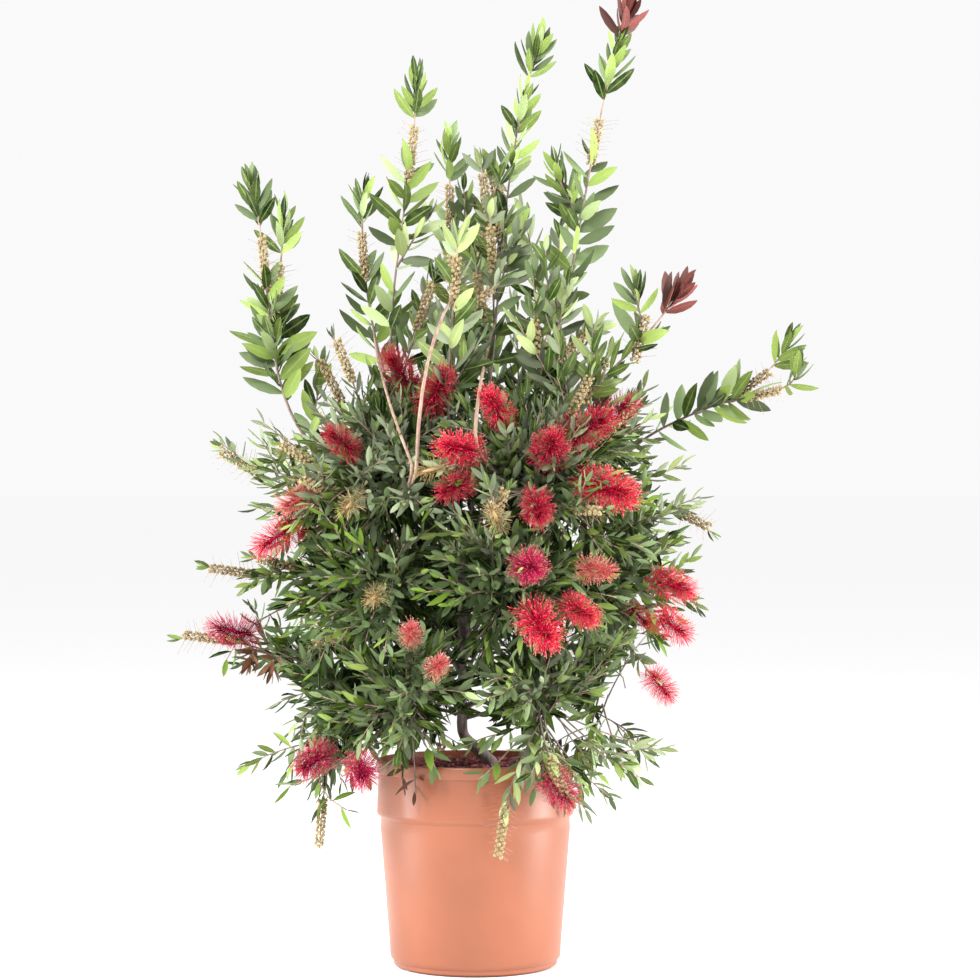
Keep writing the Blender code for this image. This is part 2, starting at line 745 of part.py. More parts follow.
# ---------------------------------------------------------------------- fusing


def keep_main_body(mesh):
    """Drops loose scraps, and the inner skins of hollows that fusing has sealed."""
    shape = bmesh.new()
    shape.from_mesh(mesh)
    bodies = []
    unseen = set(shape.faces)
    while unseen:
        front = [unseen.pop()]
        body = list(front)
        while front:
            beside = {f for edge in front.pop().edges for f in edge.link_faces} & unseen
            unseen -= beside
            front += beside
            body += beside
        bodies.append(body)
    bodies.sort(key=len)
    scraps = [face for body in bodies[:-1] for face in body]
    bmesh.ops.delete(shape, geom=scraps, context="FACES")
    shape.to_mesh(mesh)
    shape.free()


def fuse(mass, collection, kind):
    """Joins a mass by one Boolean union of its stem with the collection of its pieces."""
    body = add_object(mass.name, mesh_from(mass.stem, mass.name), collection, kind)
    pieces = new_collection(mass.name + "_pieces")
    for shape in mass.pieces:
        pieces.objects.link(bpy.data.objects.new("piece", mesh_from(shape, "piece")))
    union = body.modifiers.new("fuse", "BOOLEAN")
    union.operation = "UNION"
    union.operand_type = "COLLECTION"
    union.collection = pieces
    union.solver = "EXACT"
    graph = bpy.context.evaluated_depsgraph_get()
    fused = bpy.data.meshes.new_from_object(body.evaluated_get(graph))
    body.modifiers.clear()
    body.data = fused
    for piece in list(pieces.objects):
        bpy.data.objects.remove(piece)
    bpy.data.collections.remove(pieces)
    keep_main_body(fused)
    return body


# ------------------------------------------------------------------- whole plant


def planned_boughs():
    """Each mass's name and bough target; a crown mass also has its heart and core radius."""
    plans = []
    for ring, count, first, reach, height, radius in RINGS:
        for k in range(count):
            bearing = first + 360.0 * k / count
            heart = polar(bearing, reach, height)
            inward = (Vector((TRUNK_AXIS_X, 0.0, height - CORE_DROP * reach)) - heart).normalized()
            target = heart + inward * (radius + STEM_LENGTH)
            plans.append((f"foliage_{ring}_{k + 1}", target, heart, radius))
    for name, foot, tip, lean, sides in SHOOTS:
        plans.append((f"shoot_{name}", Vector(foot), None, None))
    return sorted(plans, key=lambda plan: steepness(plan[1]))


def main():
    clear_scene()
    plant = new_collection(COLLECTION)
    make_pot(plant)
    make_soil(plant)
    room = Room()
    path = trunk_path()
    radii = [trunk_radius(point.z) for point in path]
    limb("trunk", path, radii, TRUNK_ROUNDNESS, plant)
    room.add_limb("", path, radii)

    ways = {}
    clumps = []
    plans = planned_boughs()
    for rank, (name, target, heart, radius) in enumerate(plans):
        seat_height = LOWEST_BOUGH + (HIGHEST_BOUGH - LOWEST_BOUGH) * rank / (len(plans) - 1)
        path = bough_path(seat_height, target)
        radii = bough_radii(path)
        limb("bough_" + name.removeprefix("foliage_"), path, radii, BOUGH_ROUNDNESS, plant)
        room.add_limb("", path, radii)
        way = (path[-1] - path[-2]).normalized()
        ways[name] = way
        if heart:
            stem = [target + way * GAP, target + way * STRAIGHT_START, heart]
            clumps.append((name, heart, radius, stem))
            room.add_guide(name, [heart, heart + way * STRAIGHT_START], CLUMP_ROOM)
            room.add_limb(name, stem, [BOUGH_TIP_RADIUS] * 2)

    shoots = []
    for name, foot, tip, lean, sides in SHOOTS:
        name = f"shoot_{name}"
        way = ways[name]
        path = shoot_path(Vector(foot) + way * GAP, way, Vector(tip), lean)
        branches = [side_path(path, share, Vector(end)) for share, end in sides]
        for line in [path, *branches]:
            room.add_guide(name, line, SHOOT_ROOM)
            room.add_limb(name, line, [SHOOT_RADIUS] * len(line))
        shoots.append((name, path, branches))

    for mass in grow_crown(clumps, room):
        fuse(mass, plant, "crown")
    for seed, (name, path, branches) in enumerate(shoots):
        fuse(grow_shoot(name, path, branches, room, seed), plant, "shoot")


main()
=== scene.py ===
"""Potted bottlebrush: dresses the plant's solids with pot, mulch, bark, twigs, leaves, blooms and capsules.

Metres, +Z up, front towards -Y. Bearings are degrees anticlockwise from +X seen from above.
"""

import functools
import math
from dataclasses import dataclass

import bpy
import numpy as np
from bpy.props import FloatProperty, FloatVectorProperty, IntProperty, PointerProperty
from bpy.types import Operator, Panel, PropertyGroup
from mathutils import Matrix, Vector


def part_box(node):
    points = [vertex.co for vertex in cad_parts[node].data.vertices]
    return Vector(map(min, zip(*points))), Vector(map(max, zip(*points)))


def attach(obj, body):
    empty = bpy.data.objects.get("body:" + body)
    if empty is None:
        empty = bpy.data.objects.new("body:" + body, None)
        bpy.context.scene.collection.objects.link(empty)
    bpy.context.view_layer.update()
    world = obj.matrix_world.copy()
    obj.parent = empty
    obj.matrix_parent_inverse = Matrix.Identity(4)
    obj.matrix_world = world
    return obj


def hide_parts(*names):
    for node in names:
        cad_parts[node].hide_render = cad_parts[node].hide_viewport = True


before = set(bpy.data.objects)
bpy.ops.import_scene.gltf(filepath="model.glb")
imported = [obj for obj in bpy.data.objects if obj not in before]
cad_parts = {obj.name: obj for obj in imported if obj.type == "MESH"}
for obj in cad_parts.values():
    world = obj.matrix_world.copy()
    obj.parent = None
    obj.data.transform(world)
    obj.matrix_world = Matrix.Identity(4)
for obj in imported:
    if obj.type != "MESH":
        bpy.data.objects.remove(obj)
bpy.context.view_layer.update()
POT_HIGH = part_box("pot")[1]
LIMB_NODES = sorted(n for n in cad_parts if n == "trunk" or n.startswith("bough_"))
LEAFY_NODES = sorted(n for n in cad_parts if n.startswith(("foliage_", "shoot_")))

bl_info = {
    "name": "Potted Bottlebrush",
    "version": (1, 0, 0),
    "blender": (4, 5, 0),
    "location": "View3D > Sidebar > Bottlebrush",
    "description": "Dresses the solids of a potted bottlebrush with leaves, blooms and bark",
    "category": "Add Mesh",
}

GOLDEN_TURN = math.radians(137.50776)
GOLDEN_SHARE = 0.618034
STEEP = 0.9
UP = Vector((0.0, 0.0, 1.0))
BACKWARDS = Vector((0.0, 1.0, 0.0))
TURNS = (0.0, 6.28)  # about a whole turn

# Profile of the pot: in from the lip and down from the top, in from the lip and height, or reach and height.
INNER_FLOOR = 0.1000
INNER_SHOULDER = (0.1130, 0.1815)
INNER_STEP = ((0.0034, 0.1870),)
INNER_LIP = ((0.0050, 0.0040), (0.0049, 0.0007), (0.0040, 0.0))
OUTER_LIP = (
    (0.0009, 0.0), (0.0001, 0.0009), (0.0, 0.0030), (0.0, 0.0138), (0.0004, 0.0146), (0.0020, 0.0152),
    (0.0019, 0.0230),
)
COLLAR = ((0.0003, 0.1905), (0.0002, 0.1872), (0.0008, 0.1858), (0.0044, 0.1830), (0.0051, 0.1815))
POT_BODY = (
    (0.1163, 0.1700), (0.1042, 0.0145), (0.1036, 0.0110), (0.1022, 0.0089), (0.1006, 0.0080),
    (0.1002, 0.0070), (0.0990, 0.0034), (0.0965, 0.0008), (0.0945, 0.0), (0.0900, 0.0012), (0.0, 0.0012),
)
POT_SEGMENTS = 160

# Soil and bark chips.
SOIL_LEVEL = 0.2420
BED_INSET = 0.0056
BED_DEPTH = 0.020
BED_SEGMENTS = 72
BED_RINGS = 13
BED_RING_SHARE = 14.5
BED_LUMPS = 0.0022
BED_DISH = 0.002
CHIP_SIZE = (0.0062, 0.0038, 0.0016)
CHIP_ROUGHNESS = 0.0009
CHIP_HEIGHTS = (-0.001, 0.0035)
CHIP_TILTS = (-0.7, 0.7)
CHIP_SCALES = (0.6, 1.9)
CHIP_MARGIN = 0.004
BARE_ROUND_TRUNK = 0.011

# Trunk and boughs, as in the solids.
TRUNK_FOOT_X = 0.021
TRUNK_AXIS_X = -0.016
TRUNK_SINK = 0.004
LEAN_TOP = 0.290
LEAN_ENDS = (0.35, 0.45)
LEAN_POINTS = 17
UPRIGHT_POINTS = 24
FORK_HEIGHT = 0.452
ROOT_FLARE_RADIUS = 0.0115
FLARE_HEIGHT = 0.007
TRUNK_RADIUS = 0.0068
FORK_RADIUS = 0.0046
LOWEST_BOUGH = 0.300
HIGHEST_BOUGH = 0.446
BOUGH_RADIUS = 0.0025
BOUGH_TIP_RADIUS = 0.0015
BOUGH_POINTS = 18
LAUNCH_LEAD = 0.16
BOUGH_LAUNCH = 0.5
TRUNK_SIDES = 20
TRUNK_RELIEF = 0.10
TRUNK_SMOOTHING = 2.2
BOUGH_SIDES = 8
BOUGH_RELIEF = 0.14

# The crown: its barrel, its hem and its rings of masses, as in the solids.
CROWN_RADIUS = 0.262
CROWN_CENTRE = 0.450
CROWN_HALF_HEIGHT = 0.270
CROWN_SQUARENESS = 2.6
HEM_AT_SIDES = 0.200
HEM_AT_FRONT = 0.305
HEM_SHARPNESS = 4
# Low, middle and upper ring: number of masses, first bearing, reach, height and radius of a core.
RINGS = (
    (6, 0.0, 0.155, 0.330, 0.054),
    (6, 47.0, 0.146, 0.455, 0.068),
    (4, 32.0, 0.132, 0.580, 0.060),
)
STEM_LENGTH = 0.012
CORE_DROP = 0.3

# Blooms: bearing, height, share of the crown's reach, size and kind.
BLOOMS = (
    (-82, 0.680, 1.00, 0.72, "bright"),
    (-95, 0.630, 1.00, 0.85, "bright"),
    (-96, 0.585, 0.95, 0.7, "deep"),
    (-141, 0.640, 0.95, 0.68, "deep"),
    (-150, 0.570, 0.97, 0.75, "pale"),
    (-157, 0.525, 1.00, 0.8, "bright"),
    (-66, 0.632, 0.97, 0.9, "deep"),
    (-49, 0.655, 1.00, 0.95, "deep"),
    (-20, 0.680, 1.05, 0.8, "deep"),
    (-50, 0.582, 1.00, 1.0, "bright"),
    (-73, 0.560, 0.98, 0.78, "deep"),
    (-76, 0.495, 1.00, 0.85, "magenta"),
    (-57, 0.490, 1.00, 0.65, "pale"),
    (-73, 0.425, 1.00, 0.98, "bright"),
    (-62, 0.442, 1.00, 0.68, "bright"),
    (-26, 0.468, 1.01, 0.76, "bright"),
    (-28, 0.420, 1.02, 0.74, "bright"),
    (-27, 0.431, 0.84, 0.50, "deep"),
    (-106, 0.420, 1.00, 0.55, "pale"),
    (-99, 0.382, 1.00, 0.55, "pale"),
)
BACK_BLOOMS = 14
BACK_BLOOM_LOWEST = 0.36
BACK_BLOOM_HIGHEST = 0.68
BACK_BLOOM_SIZE = 0.9
BACK_BEARING = 52.0
BACK_SPAN = 90.0
BACK_KINDS = ("bright", "deep", "magenta", "pale")
OUTER_BLOOM_SIZES = {"bright": 0.66, "deep": 0.85, "magenta": 0.85}

# Twigs that reach out of the crown: tip, the direction in which it points, load or kind of bloom, and
# side twigs.
OUTER_TWIGS = (
    ((-0.090, -0.080, 0.724), (-0.50, -0.4, 0.60), "deep", 0),
    ((-0.044, -0.130, 0.702), (0.30, -0.6, 0.60), "deep", 0),
    ((0.220, -0.140, 0.350), (0.45, -0.7, -0.55), "bright", 0),
    ((0.205, -0.030, 0.705), (0.50, 0.0, 0.85), "leaves", 2),
    ((0.212, -0.030, 0.668), (0.80, 0.0, 0.50), "leaves", 2),
    ((0.172, -0.070, 0.715), (0.30, -0.2, 0.90), "leaves", 1),
    ((-0.312, -0.020, 0.636), (-0.70, 0.0, 0.70), "capsules", 2),
    ((-0.328, -0.030, 0.488), (-1.00, 0.0, 0.15), "capsules", 0),
    ((-0.262, -0.030, 0.470), (-0.80, -0.2, -0.50), "leaves", 1),
    ((-0.300, -0.055, 0.378), (-0.40, 0.0, -0.90), "sprig", 0),
    ((-0.258, -0.030, 0.664), (-0.70, 0.0, 0.60), "leaves", 1),
    ((-0.268, -0.050, 0.612), (-0.90, -0.2, 0.30), "leaves", 2),
    ((-0.266, -0.040, 0.560), (-0.90, -0.2, 0.10), "leaves", 2),
    ((0.252, -0.020, 0.612), (0.90, 0.0, 0.40), "leaves", 2),
    ((0.262, -0.030, 0.560), (0.90, 0.0, 0.10), "leaves", 2),
    ((-0.293, -0.060, 0.412), (-0.75, -0.6, 0.15), "magenta", 3),
    ((-0.358, -0.046, 0.402), (-1.00, 0.0, -0.10), "capsules", 0),
    ((-0.192, -0.120, 0.260), (-0.50, -0.9, -0.25), "magenta", 2),
    ((-0.132, -0.165, 0.252), (0.10, -1.0, -0.20), "magenta", 1),
    ((0.100, -0.175, 0.232), (0.35, -0.9, -0.30), "magenta", 2),
    ((0.110, -0.190, 0.225), (0.55, -0.5, -0.80), "capsules", 1),
    ((0.288, -0.030, 0.530), (0.75, 0.0, -0.60), "capsules", 0),
    ((0.208, -0.020, 0.272), (0.85, 0.5, -0.20), "leaves", 1),
    ((0.198, -0.060, 0.236), (0.75, 0.4, -0.50), "leaves", 1),
    ((0.180, -0.090, 0.252), (0.80, 0.3, -0.30), "leaves", 1),
    ((0.152, -0.080, 0.235), (0.60, 0.2, -0.70), "leaves", 2),
    ((0.160, -0.120, 0.218), (0.80, 0.0, -0.60), "leaves", 1),
    ((0.130, -0.140, 0.206), (0.60, -0.2, -0.70), "leaves", 1),
    ((-0.222, -0.040, 0.290), (-0.50, 0.0, -0.80), "leaves", 2),
    ((-0.222, -0.100, 0.228), (-1.00, -0.1, -0.30), "sprig", 0),
    ((-0.152, -0.130, 0.204), (0.90, -0.1, -0.40), "sprig", 0),
    ((-0.222, -0.080, 0.245), (-0.40, -0.1, -0.90), "leaves", 1),
    ((0.022, -0.100, 0.280), (-0.60, 0.4, -0.50), "leaves", 2),
    ((-0.022, -0.090, 0.280), (0.60, 0.4, -0.40), "leaves", 2),
    ((-0.078, -0.080, 0.282), (0.30, 0.5, -0.60), "leaves", 2),
    ((-0.050, -0.110, 0.276), (0.50, 0.2, -0.70), "leaves", 1),
    ((0.062, -0.100, 0.272), (-0.50, 0.3, -0.70), "leaves", 1),
    ((-0.186, -0.080, 0.150), (0.00, 0.0, -1.00), "capsules", 0),
    ((0.030, -0.160, 0.147), (0.02, 0.0, -1.00), "capsules", 0),
    ((-0.169, -0.100, 0.765), (-0.45, 0.0, 0.90), "capsules", 2),
    ((-0.190, -0.070, 0.742), (-0.55, 0.0, 0.85), "capsules", 2),
    ((0.215, 0.070, 0.262), (0.60, -0.6, -0.50), "leaves", 1),
    ((-0.215, 0.070, 0.240), (-0.50, 0.2, -0.80), "leaves", 2),
    ((-0.040, 0.150, 0.200), (0.00, 0.2, -1.00), "capsules", 0),
    ((-0.046, -0.128, 0.252), (0.30, -0.4, -0.80), "sprig", 0),
    ((0.004, -0.134, 0.240), (-0.70, -0.3, -0.50), "sprig", 0),
    ((0.050, -0.132, 0.240), (-0.30, -0.2, -0.90), "sprig", 0),
    ((0.072, -0.125, 0.232), (0.20, -0.2, -0.90), "sprig", 0),
    ((0.120, 0.270, 0.520), (0.40, 0.9, 0.20), "capsules", 2),
    ((-0.150, 0.265, 0.470), (-0.40, 0.9, 0.10), "capsules", 2),
    ((-0.270, -0.060, 0.500), (-0.90, -0.2, 0.15), "capsules", 2),
    ((-0.190, -0.190, 0.405), (-0.60, -0.8, 0.05), "capsules", 2),
    ((0.040, -0.275, 0.585), (0.45, -0.6, 0.70), "capsules", 2),
    ((-0.205, -0.150, 0.600), (-0.50, -0.6, 0.60), "capsules", 2),
    ((-0.235, -0.100, 0.640), (-0.70, -0.3, 0.50), "capsules", 2),
    ((0.268, -0.060, 0.440), (0.40, -0.3, -0.90), "capsules", 1),
    ((0.150, -0.225, 0.560), (0.60, -0.7, 0.10), "capsules", 1),
    ((0.190, -0.060, 0.690), (0.50, -0.2, 0.80), "capsules", 2),
    ((0.140, -0.120, 0.720), (0.50, -0.2, 0.80), "capsules", 2),
)
SPENT_BLOOMS = (
    ((-0.144, -0.205, 0.565), 0.9),
    ((-0.051, -0.245, 0.605), 0.8),
    ((0.024, -0.262, 0.553), 0.9),
    ((-0.115, -0.235, 0.459), 0.8),
    ((0.120, 0.220, 0.400), 0.9),
    ((-0.180, 0.160, 0.540), 0.8),
)
# Bare stems at the front of the crown, each of which joins a shoot: shoot, foot, bend, and height of the
# join.
BARE_STEMS = (
    ("front", (-0.066, -0.225, 0.616), (-0.064, -0.200, 0.745), 0.815),
    ("left", (-0.072, -0.205, 0.612), (-0.112, -0.165, 0.705), 0.790),
    ("tall", (0.001, -0.218, 0.648), (0.004, -0.186, 0.715), 0.790),
)
BARE_FOOT_STEP = Vector((0.0, 0.030, -0.045))
# Dead leaves: where a withered cluster hangs, and how many leaves are in it.
WITHERED = (
    ((-0.272, -0.070, 0.374), 14),
    ((-0.244, -0.080, 0.364), 13),
    ((-0.071, -0.113, 0.222), 5),
    ((-0.086, -0.104, 0.232), 3),
    ((0.190, 0.120, 0.330), 8),
)
# Openings with daylight in the lowest foliage: centre across, centre up, half width and half height.
DAYLIGHT = (
    (0.110, 0.290, 0.034, 0.034),
    (0.186, 0.328, 0.050, 0.046),
    (0.172, 0.300, 0.028, 0.030),
    (0.262, 0.300, 0.040, 0.050),
    (0.200, 0.412, 0.016, 0.028),
    (0.240, 0.375, 0.018, 0.022),
    (-0.288, 0.300, 0.040, 0.050),
    (-0.245, 0.340, 0.018, 0.020),
    (-0.030, 0.297, 0.021, 0.021),
    (0.001, 0.296, 0.014, 0.015),
    (-0.128, 0.262, 0.014, 0.014),
)

# Sections of a shoot, measured down from the tip of its stem: kind, from, to, and how many leaves.
WHIP = (("tuft", 0.0, 0.052, 19), ("spike", 0.066, 0.130, 0), ("leaves", 0.124, 0.266, 32))
# Shoots: name, foot, tip, lean at the tip, tint, sections, and side shoots as share, tip and sections.
SHOOTS = (
    (
        "left_pair", (-0.200, -0.060, 0.640), (-0.270, -0.070, 0.950), -0.28, "green", WHIP,
        ((0.30, (-0.232, -0.045, 0.914),
          (("tuft", 0.0, 0.048, 19), ("spike", 0.060, 0.124, 0), ("leaves", 0.118, 0.240, 22))),),
    ),
    (
        "left", (-0.078, 0.050, 0.626), (-0.140, 0.060, 0.950), 0.08, "green",
        (("tuft", 0.0, 0.042, 15), ("spike", 0.048, 0.108, 0), ("leaves", 0.098, 0.215, 21)), (),
    ),
    (
        "mid_left", (-0.078, -0.006, 0.631), (-0.072, -0.020, 1.084), 0.00, "green",
        (("tuft", 0.0, 0.048, 19), ("spike", 0.060, 0.126, 0), ("leaves", 0.112, 0.205, 17),
         ("leaves", 0.262, 0.325, 9)), (),
    ),
    (
        "mid", (-0.026, 0.100, 0.660), (-0.033, 0.100, 1.022), 0.00, "green",
        (("tuft", 0.0, 0.050, 16), ("spike", 0.056, 0.106, 0), ("leaves", 0.096, 0.330, 26)),
        ((0.45, (0.020, 0.110, 0.935),
          (("tuft", 0.0, 0.020, 8), ("spike", 0.020, 0.070, 0), ("leaves", 0.070, 0.150, 8))),),
    ),
    (
        "tall", (0.008, 0.010, 0.644), (0.079, 0.030, 1.134), 0.33, "green",
        (("tuft", 0.0, 0.044, 19), ("close", 0.062, 0.168, 26), ("leaves", 0.160, 0.400, 20)),
        ((0.50, (0.022, 0.020, 0.975),
          (("tuft", 0.0, 0.012, 6), ("spike", 0.010, 0.062, 0), ("leaves", 0.060, 0.150, 9))),),
    ),
    (
        "top", (0.067, -0.030, 0.680), (0.186, -0.030, 1.162), 0.34, "green",
        (("bronze", 0.0, 0.030, 14), ("tuft", 0.034, 0.110, 22), ("spike", 0.134, 0.190, 0),
         ("leaves", 0.180, 0.330, 18)),
        ((0.45, (0.098, -0.035, 0.978), (("tuft", 0.0, 0.044, 14), ("leaves", 0.050, 0.140, 10))),),
    ),
    (
        "right", (0.115, -0.085, 0.670), (0.242, -0.100, 0.818), 0.55, "green",
        (("bronze", 0.0, 0.034, 15), ("close", 0.070, 0.170, 12)),
        ((0.62, (0.190, -0.118, 0.820),
          (("tuft", 0.0, 0.030, 12), ("spike", 0.034, 0.090, 0), ("leaves", 0.070, 0.110, 6))),),
    ),
    (
        "far_right", (0.190, 0.042, 0.628), (0.384, 0.010, 0.760), 0.50, "green",
        (("tuft", 0.0, 0.030, 12), ("spike", 0.040, 0.094, 0), ("leaves", 0.090, 0.200, 19)),
        ((0.45, (0.392, -0.025, 0.728),
          (("tuft", 0.0, 0.028, 10), ("spike", 0.034, 0.084, 0), ("leaves", 0.082, 0.160, 10))),),
    ),
    (
        "centre_right", (0.037, 0.060, 0.650), (0.098, 0.064, 0.800), 0.30, "fresh",
        (("bronze", 0.0, 0.030, 8), ("spike", 0.040, 0.090, 0), ("leaves", 0.095, 0.150, 6)), (),
    ),
    (
        "front", (-0.030, -0.110, 0.660), (-0.020, -0.112, 0.880), 0.05, "fresh",
        (("tuft", 0.0, 0.020, 8), ("spike", 0.022, 0.082, 0), ("leaves", 0.080, 0.215, 16)), (),
    ),
    ("back", (0.030, 0.165, 0.660), (0.000, 0.180, 0.900), 0.00, "green", WHIP, ()),
    (
        "back_right", (0.105, 0.140, 0.655), (0.112, 0.172, 0.830), 0.15, "fresh",
        (("tuft", 0.0, 0.042, 12), ("spike", 0.050, 0.105, 0), ("leaves", 0.105, 0.170, 8)), (),
    ),
)

# Seed capsules and the dry bristles round them, on a spike.
CUPS_ON_SPIKE = 46
CUP_SEAT = 0.0048
CUP_RISE = 0.25
CUP_SCALES = (0.8, 1.1)
CUP_FLATNESS = 0.85
CUP_DIMPLE = 0.34
BRISTLE_RADIUS = 0.00032
BRISTLE_SCALES = (0.5, 1.1)
SPIKE_WIDTH = 0.95
SPIKE_TONES = (0.2, 1.0)

# Brushes: shares below and above the twig's tip, and how the stamens lean, in degrees from its way.
BRUSH_FOOT = 0.62
BRUSH_HEAD = 0.36
FOOT_LEAN = 118.0
LEAN_CHANGE = 100.0
LEAN_POWER = 1.2
STAMEN_LEANS = (-14, 14)
STAMEN_TURNS = (-0.4, 0.4)
BRUSH_SEAT = 0.0015
STAMEN_RADIUS = 0.00027
STAMEN_TIP = 1.5
STAMEN_DROOPS = (-0.25, 0.0, 0.3)
STAMEN_SCALES = (0.70, 1.10)
SHORT_STAMEN = 0.8
SPENT_SCALES = (0.35, 0.9)
SPIKE_CORE = (0.0016, 0.0024, 0.0012)

# Thin wood: radius at foot and tip, then age at foot and tip, from 0 for brown to 1 for young.
WOOD = {
    "core": (0.0016, 0.0014, 0.0, 0.1),
    "spray": (0.0014, 0.0008, 0.3, 1.0),
    "bare": (0.0023, 0.0016, 0.85, 0.9),
    "bare_foot": (0.0026, 0.0023, 0.3, 0.85),
    "crown": (0.0013, 0.0007, 0.1, 0.9),
    "side": (0.0009, 0.0006, 0.4, 1.0),
    "inner": (0.0011, 0.0007, 0.1, 0.6),
    "withered": (0.0011, 0.0007, 0.0, 0.1),
}
TWIG_POINTS = 7
TWIG_SIDES = 4
SHOOT_SIDES = 6
SHOOT_POINTS = 26
# How far the ends of a shoot's or side shoot's curve lead, as shares of its reach.
SHOOT_ENDS = (0.30, 0.35)
SIDE_ENDS = (0.20, 0.25)
SHOOT_RADIUS = 0.0019
SHOOT_TIP_RADIUS = 0.0010

# Twigs of the crown.
FOOT_SCATTER = 0.012
TWIG_BOW = 0.16
LOW_BOWS = (-0.16, 0.14)
LOW_TWIGS = 0.40
AIM_BACK = 0.12
AIM_LENGTH = 0.45
BRUSH_CLEAR = 0.024
SPIKE_SHARES = (0.75, 0.95)
SPIKE_START = 0.006
HANGING = -0.8
LEAFY_SHARE = 0.85
LEAFY_LENGTHS = {"sprig": 0.030, "leaves": 0.13, "capsules": 0.13, "bloom": 0.13}
TWIG_DEPTHS = (0.64, 1.00)
HEM_SLACK = (-0.01, 0.02)
HEM_FULLNESS = 0.45
HEM_FADE = 0.10
CROSSING_SHARE = 0.6
SIDE_TWIGS = 3
SIDE_SEATS = (0.20, 0.75)
SIDE_REACHES = (0.040, 0.078)
SIDE_WAY = (0.8, 0.7, 0.12)
SIDE_BOW = 0.006
SIDE_BELOW_HEM = 0.005
SIDE_OVERREACH = 1.03
INNER_LOWEST = 0.285
INNER_RISE = 0.375
INNER_REACHES = (0.12, 0.60)
INNER_BOW = 0.01
INNER_LEAVES = 20
WITHERED_DROP = 0.05
WITHERED_LENGTH = 0.020

# Sprays between the tall shoots: what each load is made of, from the tip down.
SPRAY_LOADS = {
    "capsules": (("spike", 0.016, 0.076, 0), ("spray_tip", 0.0, 0.014, 6), ("spray_foot", 0.076, 0.130, 6)),
    "leaves": (("spray", 0.0, 0.115, 16),),
}
SPRAY_RISES = (0.05, 0.16)
SPRAY_BOW = 0.4
FRESH_SPRAYS = 0.7
# Tips of these sprays, and the numbers of the ones that carry capsules.
UPPER_SPRAYS = (
    (-0.010, 0.040, 0.885), (0.018, -0.050, 0.915), (0.055, 0.000, 0.900), (0.085, -0.060, 0.870),
    (0.070, -0.060, 0.840), (0.030, -0.090, 0.830), (-0.020, -0.060, 0.800), (0.112, -0.050, 0.825),
    (0.150, -0.020, 0.782), (-0.045, -0.020, 0.775), (0.005, -0.130, 0.755), (0.100, -0.100, 0.760),
    (0.060, 0.060, 0.930), (0.120, 0.030, 0.850), (0.000, -0.020, 0.860), (-0.030, -0.060, 0.880),
    (0.070, -0.070, 0.800), (0.030, 0.010, 0.968), (0.006, 0.000, 0.985), (-0.015, 0.080, 0.960),
    (0.105, 0.010, 0.905), (-0.060, 0.050, 0.840), (-0.055, -0.020, 0.920), (-0.046, -0.050, 0.845),
    (0.000, -0.100, 0.790), (0.050, -0.120, 0.780), (0.140, -0.100, 0.775), (0.165, -0.080, 0.750),
    (-0.185, -0.040, 0.730), (-0.120, 0.040, 0.722), (-0.100, -0.060, 0.740), (0.050, 0.110, 0.820),
    (-0.050, 0.130, 0.800), (0.080, 0.150, 0.760), (-0.110, 0.150, 0.740), (0.135, 0.090, 0.780),
)
CAPSULE_SPRAYS = (1, 5, 8, 14, 15, 16, 17, 18, 23, 27)

# How leaves stand: angles from the wood in degrees and sizes, each at tip and foot, and their group.
STANDS = {
    "tuft": ((12, 52), (0.66, 0.92), "tuft"),
    "close": ((28, 50), (0.66, 0.90), "tuft"),
    "bronze": ((10, 50), (0.70, 0.98), "shoot"),
    "leaves": ((44, 64), (0.92, 1.16), "shoot"),
    "spray": ((16, 60), (0.60, 0.95), "shoot"),
    "spray_tip": ((16, 44), (0.50, 0.72), "shoot"),
    "spray_foot": ((36, 60), (0.70, 0.95), "shoot"),
    "twig": ((24, 72), (0.72, 1.05), "crown"),
    "twig_tip": ((12, 34), (0.45, 0.60), "crown"),
    "side": ((20, 58), (0.65, 1.00), "crown"),
    "inner": ((30, 80), (0.90, 1.20), "inner"),
    "withered": ((15, 70), (0.55, 0.90), "crown"),
}
LEAN_SCATTER = 10
SEAT_SCATTER = 0.3
SIZE_SCATTER = (0.80, 1.12)
WIDTH_SCATTER = (0.85, 1.15)

# Outlines of a leaf: distance along it, and share of its full width there.
PLAIN = ((0.45, 1.0),)
NARROW = ((0.22, 0.72), (0.52, 1.0), (0.80, 0.66))
BROAD = ((0.10, 0.42), (0.28, 0.86), (0.52, 1.0), (0.76, 0.78), (0.92, 0.36))
LEAF_CURLS = (-0.08, 0.04, 0.12, 0.22)
LEAF_BASE = 0.06
LEAF_THICKNESS = 0.0006
LEAF_MIDDLE = 0.018
TINY_WIDTH = 1e-9
TINY_DROP = 1e-7
UNDERSIDE_SHIFT = 1.0 + 1e-4
MOST_LEAVES = 6500  # in one piece
# Groups of leaves: settings of length and width, fold at the rib, outline, twist in radians, and slot.
LEAF_GROUPS = {
    "crown": ("length", "width", 0.30, NARROW, (0.25, 1.25), "crown_leaves"),
    "inner": ("length", "width", 0.10, PLAIN, (0.25, 1.25), "crown_leaves"),
    "shoot": ("shoot_length", "shoot_width", 0.24, BROAD, (0.60, 1.40), "shoot_leaves"),
    "tuft": ("shoot_length", "tuft_width", 0.24, BROAD, (0.25, 1.25), "shoot_leaves"),
}

# Shade inside the crown, between these heights: share of its reach where it starts, share over which it
# deepens, and strength. Higher than TOP_REACH the crown is taken to reach as far as there.
SHADE_HEIGHTS = (0.30, 0.74)
TOP_REACH = 0.60
SHADE_START = 0.95
SHADE_DEPTH = 0.55
SHADE_STRENGTH = 0.75
